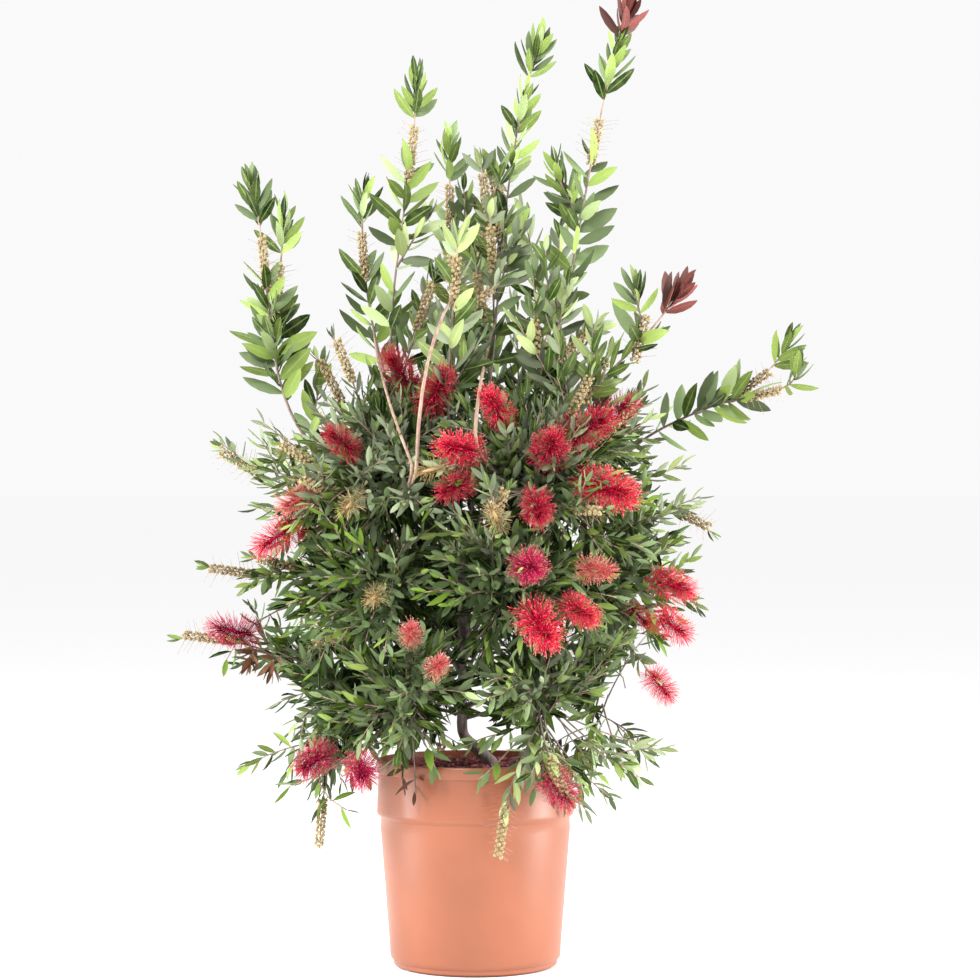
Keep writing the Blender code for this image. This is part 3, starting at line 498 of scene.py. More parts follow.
# Freshness and painted light of a spray: least, gain with height from the middle, gain outwards (painted
# light), scatter, gain at the top.
LIGHT_AND_FRESH_LEAST = 0.18
LIGHT_AND_FRESH_MIDDLE = 0.43
LIGHT_AND_FRESH_HALF_HEIGHT = 0.25
LIGHT_AND_FRESH_BY_HEIGHT = 0.34
PAINTED_LIGHT_OUTWARDS = 0.30
LIGHT_AND_FRESH_SCATTER = 0.32
LIGHT_AND_FRESH_TOP = 0.60
LIGHT_AND_FRESH_GAIN = 0.18
FRESH_FROM = 0.78
GREEN_FROM = 0.40

# Leaves make way: steps out from a bloom and forwards from a bare stem, and the reach round each step.
BRUSH_STEPS = (0.0, 0.014, 0.026)
BRUSH_RISE = 0.4
BRUSH_REACH = 0.0185
STEM_STEPS = (0.0, 0.014, 0.028)
STEM_REACH = 0.011
OPENING_CORE = 0.6
OPENING_MIDDLE = 0.7
OPENING_CROSSING = 0.8

# Colours. Leaves, by spray: sunlit colour, shaded colour, underside and rib.
LEAF_TINTS = {
    "deep": ((0.175, 0.285, 0.036), (0.001, 0.005, 0.001), (0.140, 0.215, 0.080), (0.190, 0.270, 0.080)),
    "green": ((0.280, 0.390, 0.086), (0.003, 0.015, 0.001), (0.215, 0.295, 0.130), (0.320, 0.400, 0.150)),
    "fresh": ((0.375, 0.455, 0.180), (0.034, 0.076, 0.008), (0.320, 0.385, 0.230), (0.480, 0.530, 0.250)),
    "bronze": ((0.190, 0.050, 0.042), (0.060, 0.016, 0.014), (0.200, 0.090, 0.075), (0.260, 0.090, 0.070)),
    "withered": ((0.140, 0.060, 0.030), (0.040, 0.014, 0.008), (0.160, 0.080, 0.045), (0.190, 0.100, 0.050)),
}
# A painted sheen: a pale highlight mixed into the brightest leaves of these tints.
PAINTED_SHEEN = (0.390, 0.460, 0.310)
PAINTED_SHEEN_TINTS = ("deep", "green", "fresh")
# Blooms, by kind: colours of a stamen at its foot, along it and at its tip, and how many stamens.
BLOOM_KINDS = {
    "bright": ((0.280, 0.001, 0.016), (0.660, 0.007, 0.058), (0.720, 0.270, 0.200), 560),
    "deep": ((0.140, 0.001, 0.010), (0.420, 0.004, 0.036), (0.480, 0.150, 0.120), 520),
    "magenta": ((0.170, 0.001, 0.018), (0.420, 0.006, 0.062), (0.520, 0.220, 0.190), 520),
    "pale": ((0.440, 0.030, 0.040), (0.600, 0.120, 0.120), (0.680, 0.460, 0.320), 380),
    "spent": ((0.260, 0.160, 0.060), (0.520, 0.380, 0.180), (0.300, 0.170, 0.080), 170),
}
BARK_DARK = (0.060, 0.040, 0.034)
BARK_LIGHT = (0.210, 0.155, 0.140)
BARK_PATCH = (0.310, 0.250, 0.230)
TWIG_DARK = (0.070, 0.046, 0.036)
TWIG_LIGHT = (0.210, 0.155, 0.125)
YOUNG_DARK = (0.270, 0.150, 0.110)
YOUNG_LIGHT = (0.370, 0.280, 0.200)
CHIP_DUST = Vector((0.03, 0.03, 0.035))
SHELL_DRY = (0.180, 0.110, 0.045)
SHELL_RIPE = (0.480, 0.390, 0.190)
BRISTLE_DRY = (0.300, 0.170, 0.120)
BRISTLE_RIPE = (0.460, 0.330, 0.230)
CUP_MOUTH = (0.090, 0.055, 0.030)
CREASE_CENTRE = (0.020, -0.120, 0.203)

# Studio: a light's name, its power in the settings, place, width and height.
LIGHTS = (
    ("left_box", "left", (-2.0, -0.25, 0.75), 0.9, 1.7),
    ("right_box", "right", (2.0, -0.25, 0.75), 0.9, 1.7),
    ("front_box", "key", (-1.1, -2.6, 2.4), 1.0, 1.0),
)
LIGHT_AIM = Vector((0.0, 0.0, 0.55))
FLOOR_LEVEL = -0.0004
FLOOR_SIZE = 600.0
FLOOR_COLOUR = (0.985, 0.985, 0.985)
CAMERA_X = 0.018
CAMERA_HEIGHT = 0.582
LENS = 104.7
SENSOR_WIDTH = 36.0
FARTHEST = 400.0


# ------------------------------------------------------------------ settings


def metres(name, description, default):
    return FloatProperty(name=name, description=description, default=default, unit="LENGTH")


def watts(name, description, default):
    return FloatProperty(name=name, description=description, default=default, unit="POWER")


def paint(name, description, default):
    return FloatVectorProperty(name=name, description=description, default=default, subtype="COLOR")


def number(name, description, default):
    return IntProperty(name=name, description=description, default=default)


class PotSettings(PropertyGroup):
    """Sizes and colours of the pot and what fills it."""

    height: metres("Height", "Underside to lip", POT_HIGH.z)
    lip_radius: metres("Lip radius", "Outside of the lip", POT_HIGH.x)
    wall: metres("Wall", "Thickness of the wall", 0.0028)
    terracotta: paint("Plastic", "Colour of the pot", (0.282, 0.087, 0.039))
    mulch: paint("Mulch", "Colour of the bark chips", (0.270, 0.080, 0.078))
    chips: number("Chips", "Bark chips on the soil", 900)


class LeafSettings(PropertyGroup):
    """Sizes and numbers of the leaves."""

    length: metres("Length", "Length of a leaf in the crown", 0.034)
    width: metres("Width", "Width of a leaf in the crown", 0.0094)
    shoot_length: metres("Shoot leaf", "Length of a leaf on a tall shoot", 0.048)
    shoot_width: metres("Shoot leaf width", "Width of a leaf on a tall shoot", 0.0148)
    tuft_width: metres("Tuft leaf width", "Width of a leaf at a shoot's tip", 0.0134)
    twigs: number("Twigs", "Twigs that end on the crown's surface", 330)
    inner_twigs: number("Inner twigs", "Shaded twigs inside the crown", 180)
    spacing: metres("Spacing", "Distance between leaves along a twig", 0.0062)


class BloomSettings(PropertyGroup):
    """Sizes of the blooms and the seed capsules."""

    reach: metres("Stamen", "Length of a stamen", 0.027)
    length: metres("Brush", "Length of the brush of stamens", 0.050)
    capsule: metres("Capsule", "Diameter of a seed capsule", 0.0058)
    spike: metres("Spike", "Length of a spike of capsules", 0.062)
    bristle: metres("Bristle", "Length of the dry styles on a spike", 0.022)


class StudioSettings(PropertyGroup):
    """Light and backdrop."""

    sky: FloatProperty(name="Sky", description="Strength of the white surround", default=0.95)
    left: watts("Left box", "Power of the left box", 60.0)
    right: watts("Right box", "Power of the right box", 88.0)
    key: watts("Front box", "Power of the front box", 120.0)
    distance: metres("Distance", "From the camera to the plant", 3.5)


class BottlebrushSettings(PropertyGroup):
    """All that a user would change."""

    pot: PointerProperty(type=PotSettings)
    leaf: PointerProperty(type=LeafSettings)
    bloom: PointerProperty(type=BloomSettings)
    studio: PointerProperty(type=StudioSettings)


# ------------------------------------------------------------- shader expressions


class Wire:
    """A shader value that takes part in Python expressions; each adds a Math node."""

    def __init__(self, finish, socket):
        self.finish = finish
        self.socket = socket

    def __gt__(self, other):
        return self.finish.math("GREATER_THAN", self, other)

    def __abs__(self):
        return self.finish.math("ABSOLUTE", self)


def overload(name, operation):
    """Gives Wire an operator and its reflected form."""
    setattr(Wire, f"__{name}__", lambda wire, other: wire.finish.math(operation, wire, other))
    setattr(Wire, f"__r{name}__", lambda wire, other: wire.finish.math(operation, other, wire))


overload("add", "ADD")
overload("sub", "SUBTRACT")
overload("mul", "MULTIPLY")


class Finish:
    """A material under construction, round its Principled shader."""

    def __init__(self, name, roughness, **constants):
        self.material = bpy.data.materials.new(name)
        self.material.use_nodes = True
        self.tree = self.material.node_tree
        self.shader = self.tree.nodes["Principled BSDF"].inputs
        self.shader["Roughness"].default_value = roughness
        for socket, value in constants.items():
            self.shader[socket.replace("_", " ")].default_value = value

    def plug(self, socket, value):
        if isinstance(value, Wire):
            self.tree.links.new(value.socket, socket)
        elif hasattr(socket.default_value, "__len__") and len(socket.default_value) == 4:
            socket.default_value = (*value, 1.0)[:4]
        else:
            socket.default_value = value

    def node(self, kind, settings=None, inputs=None, output=0):
        made = self.tree.nodes.new("ShaderNode" + kind)
        for setting, value in (settings or {}).items():
            setattr(made, setting, value)
        for socket, value in (inputs or {}).items():
            self.plug(made.inputs[socket], value)
        return Wire(self, made.outputs[output])

    def math(self, operation, *values):
        return self.node("Math", {"operation": operation}, dict(enumerate(values)))

    def mix(self, factor, one, other):
        """One colour towards another."""
        return self.node("Mix", {"data_type": "RGBA"}, {0: factor, 6: one, 7: other}, 2)

    def ramp(self, value, low, high):
        """0 below low, 1 above high, and a smooth step between."""
        limits = {0: value, 1: low, 2: high, 3: 0.0, 4: 1.0}
        return self.node("MapRange", {"interpolation_type": "SMOOTHSTEP"}, limits)

    def place(self, scale=(1.0, 1.0, 1.0)):
        """The piece's own coordinates in metres, stretched by a scale."""
        own = self.node("TexCoord", output=3)
        return self.node("Mapping", {}, {0: own, 3: scale})

    def noise(self, size, detail, scale=(1.0, 1.0, 1.0)):
        """Cloudy values whose lumps are about a size in metres across."""
        return self.node("TexNoise", {}, {0: self.place(scale), 2: 1.0 / size, 3: detail})

    def worn(self, name):
        """A value that each vertex carries."""
        return self.node("Attribute", {"attribute_name": name}, output=2)

    def bump(self, height, strength, distance):
        relief = self.node("Bump", {}, {"Strength": strength, "Distance": distance, "Height": height})
        self.plug(self.shader["Normal"], relief)

    def colour(self, value):
        self.plug(self.shader["Base Color"], value)

    def rough(self, value):
        self.plug(self.shader["Roughness"], value)


def darker(colour, share):
    return tuple(share * part for part in colour)


def terracotta_finish(settings):
    """Moulded plastic: cloudy tone, a fine matt grain, and shallow creases round the collar."""
    made = Finish("terracotta_plastic", 0.36, Specular_IOR_Level=0.5)
    base = Vector(settings.terracotta)
    cloud = made.noise(0.09, 4.0)
    made.colour(made.mix(made.ramp(cloud, 0.35, 0.7), base * 0.93, base * 1.05))
    made.rough(0.30 + 0.10 * made.noise(0.012, 5.0))
    spot = made.node("VectorMath", {"operation": "DISTANCE"}, {0: made.place(), 1: CREASE_CENTRE}, 1)
    creases = made.noise(0.016, 3.0, (1.0, 1.0, 7.0)) * (1.0 - made.ramp(spot, 0.010, 0.050))
    made.bump(creases + 0.06 * made.noise(0.004, 3.0, (1.0, 1.0, 6.0)), 0.8, 0.0016)
    return made.material


def mulch_finish(settings, name, shade):
    """Bark chips or soil: patches of tone, and dusty grains."""
    made = Finish(name, 0.9)
    # A share under 1 darkens the whole colour: on the soil bed, painted shade between the chips.
    base = Vector(settings.mulch) * shade
    grain = made.noise(0.004, 5.0)
    tone = made.noise(0.020, 2.0)
    earth = made.mix(made.ramp(tone, 0.35, 0.65), base * 0.5, base * 1.5)
    made.colour(made.mix(made.ramp(grain, 0.55, 0.75), earth, base * 2.6 + CHIP_DUST))
    made.bump(grain, 0.6, 0.002)
    return made.material


def bark_finish():
    """Stringy bark: strips that run up the limb, and paler patches."""
    made = Finish("rough_bark", 0.85)
    strip = made.noise(0.006, 6.0, (1.0, 1.0, 0.25))
    patch = made.noise(0.030, 3.0)
    base = made.mix(made.ramp(strip, 0.35, 0.65), BARK_DARK, BARK_LIGHT)
    made.colour(made.mix(made.ramp(patch, 0.45, 0.75) * 0.6, base, BARK_PATCH))
    made.bump(strip, 0.7, 0.0012)
    return made.material


def twig_finish():
    """Young twigs run from brown wood at the foot to a pinkish green tip."""
    made = Finish("twig_skin", 0.6)
    streak = made.noise(0.005, 4.0, (1.0, 1.0, 0.3))
    wood = made.mix(made.ramp(streak, 0.3, 0.7), TWIG_DARK, TWIG_LIGHT)
    young = made.mix(made.ramp(streak, 0.3, 0.7), YOUNG_DARK, YOUNG_LIGHT)
    made.colour(made.mix(made.ramp(made.worn("age"), 0.35, 0.95), wood, young))
    return made.material


def leaf_finish(tint):
    """Leathery blades: a rib, a paler underside, painted light and shade that differ from leaf to leaf, and
    a painted sheen on the brightest.
    """
    lit, shaded, under, rib = LEAF_TINTS[tint]
    made = Finish(f"leaf_{tint}", 0.5, Specular_IOR_Level=0.06 if tint == "deep" else 0.13)
    uv = made.node("UVMap", {"uv_map": "blade"})
    across = made.node("SeparateXYZ", {}, {0: uv})
    along = made.node("SeparateXYZ", {}, {0: uv}, 1)
    below = across > 1.0
    edge = abs(across - below - 0.5) * 2.0
    tone = made.worn("tone")
    cloud = made.noise(0.011, 1.0)
    # Painted light and shade: a leaf's tone sets where it lies between the shaded and the sunlit colour.
    face = made.mix(made.ramp(tone, 0.03, 0.86), shaded, lit)
    face = made.mix(made.ramp(cloud, 0.35, 0.65) * 0.12, face, lit)
    # A painted sheen on the leaves of highest tone.
    if tint in PAINTED_SHEEN_TINTS:
        face = made.mix(made.ramp(tone, 0.76, 0.98) * 0.5, face, PAINTED_SHEEN)
    face = made.mix((1.0 - made.ramp(edge, 0.03, 0.18)) * 0.45, face, rib)
    face = made.mix(made.ramp(along, 0.90, 1.0) * 0.2, face, LEAF_TINTS["bronze"][0])
    # At a low tone the underside darkens too: painted shade.
    back = made.mix(tone, darker(under, 0.25), under)
    made.colour(made.mix(below, face, back))
    made.rough(0.42 + 0.2 * below)
    return made.material


def bloom_finish(kind):
    """Stamens darken towards the spike and end in a yellow speck."""
    heart, thread, speck = BLOOM_KINDS[kind][:3]
    made = Finish(f"stamens_{kind}", 0.5, Specular_IOR_Level=0.08)
    along = made.worn("along")
    tone = made.worn("tone")
    silk = made.mix(made.ramp(along, 0.05, 0.75), heart, thread)
    silk = made.mix(tone * 0.35, silk, darker(thread, 0.55))
    made.colour(made.mix(made.ramp(along, 0.90, 0.98), silk, speck))
    return made.material


def capsule_finish(name, dry, ripe):
    """A crusty shell or straw, with a dark mouth or tip."""
    made = Finish(name, 0.7)
    tone = made.worn("tone")
    crust = made.noise(0.0015, 4.0)
    shell = made.mix(tone, dry, ripe)
    shell = made.mix(made.ramp(crust, 0.45, 0.75) * 0.5, shell, darker(dry, 0.4))
    made.colour(made.mix(made.ramp(made.worn("along"), 0.7, 0.95), shell, CUP_MOUTH))
    made.bump(crust, 0.5, 0.0006)
    return made.material


# --------------------------------------------------------------- modelling by hand


def leave_edit():
    bpy.ops.object.mode_set(mode="OBJECT")


def edit_all():
    """Goes to edit mode with the whole mesh selected."""
    bpy.ops.object.mode_set(mode="EDIT")
    bpy.ops.mesh.select_all(action="SELECT")


def deselect():
    if bpy.context.mode != "OBJECT":
        leave_edit()
    bpy.ops.object.select_all(action="DESELECT")


def pick(piece, kind, wanted):
    """Goes to edit mode with just the vertices or faces selected that a test wants."""
    bpy.ops.object.mode_set(mode="EDIT")
    bpy.ops.mesh.select_mode(type=kind)
    bpy.ops.mesh.select_all(action="DESELECT")
    leave_edit()
    for item in piece.data.vertices if kind == "VERT" else piece.data.polygons:
        item.select = bool(wanted(item))
    bpy.ops.object.mode_set(mode="EDIT")


def settle():
    """Puts the chosen piece's place into its mesh."""
    leave_edit()
    bpy.ops.object.transform_apply(location=True, rotation=True, scale=True)


def finish_piece(piece, material, nodes):
    """Gives a piece its material and body, and hides the solids that it stands for."""
    piece.data.materials.clear()
    piece.data.materials.append(material)
    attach(piece, "root")
    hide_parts(*nodes)


def draw_outline(name, points):
    """Draws a chain of edges by extruding one vertex from point to point."""
    deselect()
    bpy.ops.mesh.primitive_plane_add(size=0.001, location=points[0])
    piece = bpy.context.object
    piece.name = name
    settle()
    bpy.ops.object.mode_set(mode="EDIT")
    bpy.ops.mesh.select_mode(type="VERT")
    bpy.ops.mesh.select_all(action="SELECT")
    bpy.ops.mesh.merge(type="CENTER")
    for before, after in zip(points, points[1:]):
        step = Vector(after) - Vector(before)
        bpy.ops.mesh.extrude_vertices_move(TRANSFORM_OT_translate={"value": step})
    return piece


def spin_round(steps):
    """Spins the outline that is being edited into a closed shell."""
    bpy.ops.mesh.select_all(action="SELECT")
    bpy.ops.mesh.spin(steps=steps, angle=math.tau, center=(0, 0, 0), axis=(0, 0, 1))
    bpy.ops.mesh.select_all(action="SELECT")
    bpy.ops.mesh.remove_doubles(threshold=0.00002)
    bpy.ops.mesh.normals_make_consistent(inside=False)
    leave_edit()


# ---------------------------------------------------------- patterns and their copies


@dataclass
class Pattern:
    """A small mesh read into arrays, so that many copies of it can be laid in one piece."""

    points: np.ndarray
    corners: np.ndarray
    sizes: np.ndarray
    uv: np.ndarray | None = None
    along: np.ndarray | None = None
    tone: np.ndarray | None = None

    @classmethod
    def of(cls, piece, length=None):
        """Reads a modelled object, and removes it. Along runs from 0 at the root to 1 at the length."""
        mesh = piece.data
        points = np.zeros(len(mesh.vertices) * 3)
        mesh.vertices.foreach_get("co", points)
        points = points.reshape(-1, 3)
        corners = np.zeros(len(mesh.loops), np.int64)
        mesh.loops.foreach_get("vertex_index", corners)
        sizes = np.array([face.loop_total for face in mesh.polygons])
        uv = np.zeros(len(mesh.loops) * 2)
        mesh.uv_layers[0].data.foreach_get("uv", uv)
        along = np.clip(points[:, 2] / length, 0, 1) if length else np.zeros(len(points))
        bpy.data.objects.remove(piece)
        bpy.data.meshes.remove(mesh)
        return cls(points, corners, sizes, uv.reshape(-1, 2), along)

    def laid(self, copies):
        """All the copies as one pattern, from a 4x4 place and a tone for each."""
        places = np.array([np.array(place) for place, tone in copies])
        count, size = len(copies), len(self.points)
        turned = np.einsum("mij,nj->mni", places[:, :3, :3], self.points)
        shift = np.repeat(np.arange(count) * size, len(self.corners))
        tone = np.repeat([tone for place, tone in copies], size)
        if self.tone is not None:
            tone = 0.5 * tone + 0.5 * np.tile(self.tone, count)
        return Pattern(
            (turned + places[:, None, :3, 3]).reshape(-1, 3),
            np.tile(self.corners, count) + shift,
            np.tile(self.sizes, count),
            None if self.uv is None else np.tile(self.uv, (count, 1)),
            np.tile(self.along, count),
            tone,
        )

    @staticmethod
    def joined(patterns):
        """Several patterns as one."""
        shifts = np.cumsum([0] + [len(p.points) for p in patterns[:-1]])
        corners = np.concatenate([p.corners + shift for p, shift in zip(patterns, shifts)])
        points, sizes, along, tone = (
            np.concatenate([getattr(p, name) for p in patterns])
            for name in ("points", "sizes", "along", "tone")
        )
        uvs = [p.uv for p in patterns]
        uv = None if any(each is None for each in uvs) else np.concatenate(uvs)
        return Pattern(points, corners, sizes, uv, along, tone)

    def object(self, name, sharp):
        """The pattern as a mesh object, smooth up to a sharp angle in degrees."""
        mesh = bpy.data.meshes.new(name)
        mesh.vertices.add(len(self.points))
        mesh.vertices.foreach_set("co", self.points.astype(np.float32).ravel())
        mesh.loops.add(len(self.corners))
        mesh.loops.foreach_set("vertex_index", self.corners.astype(np.int32))
        mesh.polygons.add(len(self.sizes))
        starts = np.concatenate(([0], np.cumsum(self.sizes)[:-1]))
        mesh.polygons.foreach_set("loop_start", starts.astype(np.int32))
        mesh.update(calc_edges=True)
        if self.uv is not None:
            layer = mesh.uv_layers.new(name="blade")
            layer.data.foreach_set("uv", self.uv.astype(np.float32).ravel())
        for label, values in (("along", self.along), ("tone", self.tone)):
            layer = mesh.attributes.new(label, "FLOAT", "POINT")
            layer.data.foreach_set("value", values.astype(np.float32))
        mesh.shade_smooth()
        mesh.set_sharp_from_angle(angle=math.radians(sharp))
        made = bpy.data.objects.new(name, mesh)
        bpy.context.scene.collection.objects.link(made)
        return made


def tubes(paths, radii, sides, ages=None):
    """Closed tapering tubes along paths that all have the same number of points."""
    paths = np.array([[list(spot) for spot in path] for path in paths])
    radii = np.asarray(radii, float)
    many, steps = paths.shape[:2]
    ways = np.gradient(paths, axis=1)
    ways /= np.linalg.norm(ways, axis=2, keepdims=True)
    helper = np.where(np.abs(ways[:, :1, 2:]) > STEEP, [1.0, 0.0, 0.0], [0.0, 0.0, 1.0])[:, 0]
    side = np.cross(ways[:, 0], helper)
    turns = np.arange(sides) * math.tau / sides
    rings = np.zeros((many, steps, sides, 3))
    for k in range(steps):
        side = side - ways[:, k] * (side * ways[:, k]).sum(1, keepdims=True)
        side = side / np.linalg.norm(side, axis=1, keepdims=True)
        over = np.cross(ways[:, k], side)
        arms = side[:, None] * np.cos(turns)[:, None] + over[:, None] * np.sin(turns)[:, None]
        reach = radii[:, k, None, None] if radii.ndim == 2 else radii[:, k, :, None]
        rings[:, k] = paths[:, k, None] + arms * reach
    corners = []
    for k in range(steps - 1):
        for j in range(sides):
            here, there = k * sides + j, k * sides + (j + 1) % sides
            corners += [here, there, there + sides, here + sides]
    corners += [*reversed(range(sides)), *range((steps - 1) * sides, steps * sides)]
    sizes = [4] * ((steps - 1) * sides) + [sides, sides]
    size = steps * sides
    shift = np.repeat(np.arange(many) * size, len(corners))
    share = np.tile(np.repeat(np.linspace(0, 1, steps), sides), many)
    if ages is not None:
        first, last = ages.T
        share = np.repeat(first, size) + share * np.repeat(last - first, size)
    flat = np.zeros(many * size)
    return Pattern(
        rings.reshape(-1, 3), np.tile(corners, many) + shift, np.tile(sizes, many), None, share, flat
    )


def blade_pattern(length, width, fold, curl, outline):
    """One leaf: a grid narrowed to its outline, folded at the rib, curled, and backed by its underside."""
    deselect()
    rows = len(outline) + 1
    bpy.ops.mesh.primitive_grid_add(x_subdivisions=2, y_subdivisions=rows, size=1.0, calc_uvs=True)
    piece = bpy.context.object
    mesh = piece.data
    for row, (at, wide) in enumerate(((0.0, LEAF_BASE), *outline, (1.0, 0.0))):
        level = row / rows - 0.5
        pick(piece, "VERT", lambda v: abs(v.co.y - level) < 0.01 and v.co.z == 0.0)
        drop = Vector((0.0, at * length - level, -curl * length * at**2 - TINY_DROP * (row + 1)))
        bpy.ops.transform.resize(value=(width * wide + TINY_WIDTH, 1.0, 1.0), center_override=(0, 0, 0))
        bpy.ops.transform.translate(value=drop)
        leave_edit()
    for vert in mesh.vertices:
        vert.co.z += abs(vert.co.x) * fold
    edit_all()
    bpy.ops.mesh.duplicate()
    bpy.ops.mesh.flip_normals()
    leave_edit()
    layer = mesh.uv_layers[0].data
    for face in mesh.polygons:
        if face.select:
            for corner in face.loop_indices:
                layer[corner].uv.x += UNDERSIDE_SHIFT
    for vert in mesh.vertices:
        if vert.select and abs(vert.co.x) < width * 0.01:
            vert.co.z -= LEAF_THICKNESS
    edit_all()
    bpy.ops.mesh.remove_doubles(threshold=0.00005)
    bpy.ops.transform.rotate(value=math.pi / 2, orient_axis="X", center_override=(0, 0, 0))
    leave_edit()
    pattern = Pattern.of(piece)
    pattern.along = np.zeros(len(pattern.points))
    if pattern.points[:, 2].min() < -length * 0.5:
        pattern.points[:, 1:] *= -1.0
    return pattern


def thread_pattern(length, radius, droop, tip):
    """A stamen or bristle: a bent three-sided thread, and its girth at the tip."""
    deselect()
    bpy.ops.mesh.primitive_circle_add(vertices=3, radius=radius, fill_type="NGON")
    piece = bpy.context.object
    pick(piece, "FACE", lambda face: True)
    for share, narrow in ((0.55, 0.85), (0.45, tip)):
        step = (droop * share * length, 0.0, share * length)
        bpy.ops.mesh.extrude_region_move(TRANSFORM_OT_translate={"value": step})
        bpy.ops.transform.resize(value=(narrow, narrow, 1.0))
    bpy.ops.mesh.select_all(action="SELECT")
    bpy.ops.mesh.normals_make_consistent(inside=False)
    leave_edit()
    return Pattern.of(piece, length)


def cup_pattern(size):
    """A seed capsule: a squat cup with a dimple at its mouth."""
    deselect()
    bpy.ops.mesh.primitive_uv_sphere_add(segments=6, ring_count=4, radius=size / 2)
    piece = bpy.context.object
    pick(piece, "VERT", lambda v: v.co.z > size * 0.49)
    bpy.ops.transform.translate(value=(0.0, 0.0, -size * CUP_DIMPLE))
    bpy.ops.mesh.select_all(action="SELECT")
    bpy.ops.transform.resize(value=(1.0, 1.0, CUP_FLATNESS))
    leave_edit()
    pattern = Pattern.of(piece)
    reach = np.linalg.norm(pattern.points[:, :2], axis=1)
    pattern.along = ((reach < size * 0.05) & (pattern.points[:, 2] > 0)).astype(float)
    return pattern


def chip_pattern():
    """A flake of bark."""
    deselect()
    bpy.ops.mesh.primitive_cube_add(size=1.0, scale=CHIP_SIZE)
    piece = bpy.context.object
    settle()
    pick(piece, "FACE", lambda face: abs(face.normal.z) > 0.5)
    bpy.ops.transform.resize(value=(0.75, 0.6, 1.0))
    bpy.ops.mesh.select_all(action="SELECT")
    bpy.ops.transform.vertex_random(offset=CHIP_ROUGHNESS, seed=3)
    leave_edit()
    return Pattern.of(piece)


# ----------------------------------------------------------------------- growth


def between(low, high, share):
    return low + (high - low) * share


def polar(bearing, reach, height):
    turn = math.radians(bearing)
    return Vector((reach * math.cos(turn), reach * math.sin(turn), height))


def bezier(controls, count):
    path = []
    for step in range(count):
        share = step / (count - 1)
        row = [Vector(c) for c in controls]
        while len(row) > 1:
            row = [a.lerp(b, share) for a, b in zip(row, row[1:])]
        path.append(row[0])
    return path


def path_length(path):
    return sum((b - a).length for a, b in zip(path, path[1:]))


def down_path(path, distance):
    """The point that lies a distance back from the path's end, and the direction there."""
    for a, b in zip(path[-2::-1], path[:0:-1]):
        step = (b - a).length
        if distance <= step:
            return b.lerp(a, distance / step), (b - a) / step
        distance -= step
    return path[0].copy(), (path[1] - path[0]).normalized()


def any_side(direction):
    """A direction square to another."""
    helper = UP if abs(direction.z) < STEEP else Vector((1.0, 0.0, 0.0))
    return direction.cross(helper).normalized()


def frame_along(origin, axis, facing):
    """A frame whose Z runs along the axis and whose Y turns to the facing direction."""
    side = axis.cross(facing).normalized()
    basis = Matrix((side, side.cross(axis), axis)).transposed().to_4x4()
    return Matrix.Translation(origin) @ basis


def crown_reach(height):
    level = abs(height - CROWN_CENTRE) / CROWN_HALF_HEIGHT
    return CROWN_RADIUS * max(0.0, 1.0 - level**CROWN_SQUARENESS) ** (1.0 / CROWN_SQUARENESS)


def hem_height(bearing):
    return between(HEM_AT_SIDES, HEM_AT_FRONT, abs(math.sin(bearing)) ** HEM_SHARPNESS)


def trunk_radius(height):
    rise = height - SOIL_LEVEL
    straight = between(TRUNK_RADIUS, FORK_RADIUS, rise / (FORK_HEIGHT - SOIL_LEVEL))
    return straight + (ROOT_FLARE_RADIUS - TRUNK_RADIUS) * math.exp(-rise / FLARE_HEIGHT)


def trunk_path():
    rise = LEAN_TOP - SOIL_LEVEL
    controls = (
        (TRUNK_FOOT_X, 0.0, SOIL_LEVEL - TRUNK_SINK),
        (TRUNK_FOOT_X, 0.0, SOIL_LEVEL + LEAN_ENDS[0] * rise),
        (TRUNK_AXIS_X, 0.0, LEAN_TOP - LEAN_ENDS[1] * rise),
        (TRUNK_AXIS_X, 0.0, LEAN_TOP),
    )
    leaning = bezier(controls, LEAN_POINTS)
    fork = Vector((TRUNK_AXIS_X, 0.0, FORK_HEIGHT))
    return leaning + [leaning[-1].lerp(fork, (k + 1) / UPRIGHT_POINTS) for k in range(UPRIGHT_POINTS)]


def steepness(target):
    return math.atan2(target.z - LOWEST_BOUGH, math.hypot(target.x - TRUNK_AXIS_X, target.y))


def bough_path(seat_height, target):
    """A bough leaves the trunk more steeply than its target lies, and bends out to it."""
    axis = Vector((TRUNK_AXIS_X, 0.0, seat_height))
    outward = Vector((target.x - axis.x, target.y, 0.0)).normalized()
    rise = between(steepness(target), math.pi / 2, LAUNCH_LEAD)
    way = outward * math.cos(rise) + UP * math.sin(rise)
    return bezier([axis, axis + way * BOUGH_LAUNCH * (target - axis).length, target], BOUGH_POINTS)


def shoot_path(foot, way, tip, lean):
    """A tall shoot carries on from its bough and comes up nearly upright."""
    reach = (tip - foot).length
    arrival = Vector((lean, 0.0, 1.0)).normalized()
    leaving = foot + way * SHOOT_ENDS[0] * reach
    return bezier([foot, leaving, tip - arrival * SHOOT_ENDS[1] * reach, tip], SHOOT_POINTS)


def side_path(path, share, tip):
    """A side shoot forks at a share of its shoot's length and turns upright."""
    root, way = down_path(path, (1.0 - share) * path_length(path))
    reach = (tip - root).length
    leaving = root + (way + (tip - root) / reach) * SIDE_ENDS[0] * reach
    return bezier([root, leaving, tip - UP * SIDE_ENDS[1] * reach, tip], SHOOT_POINTS)


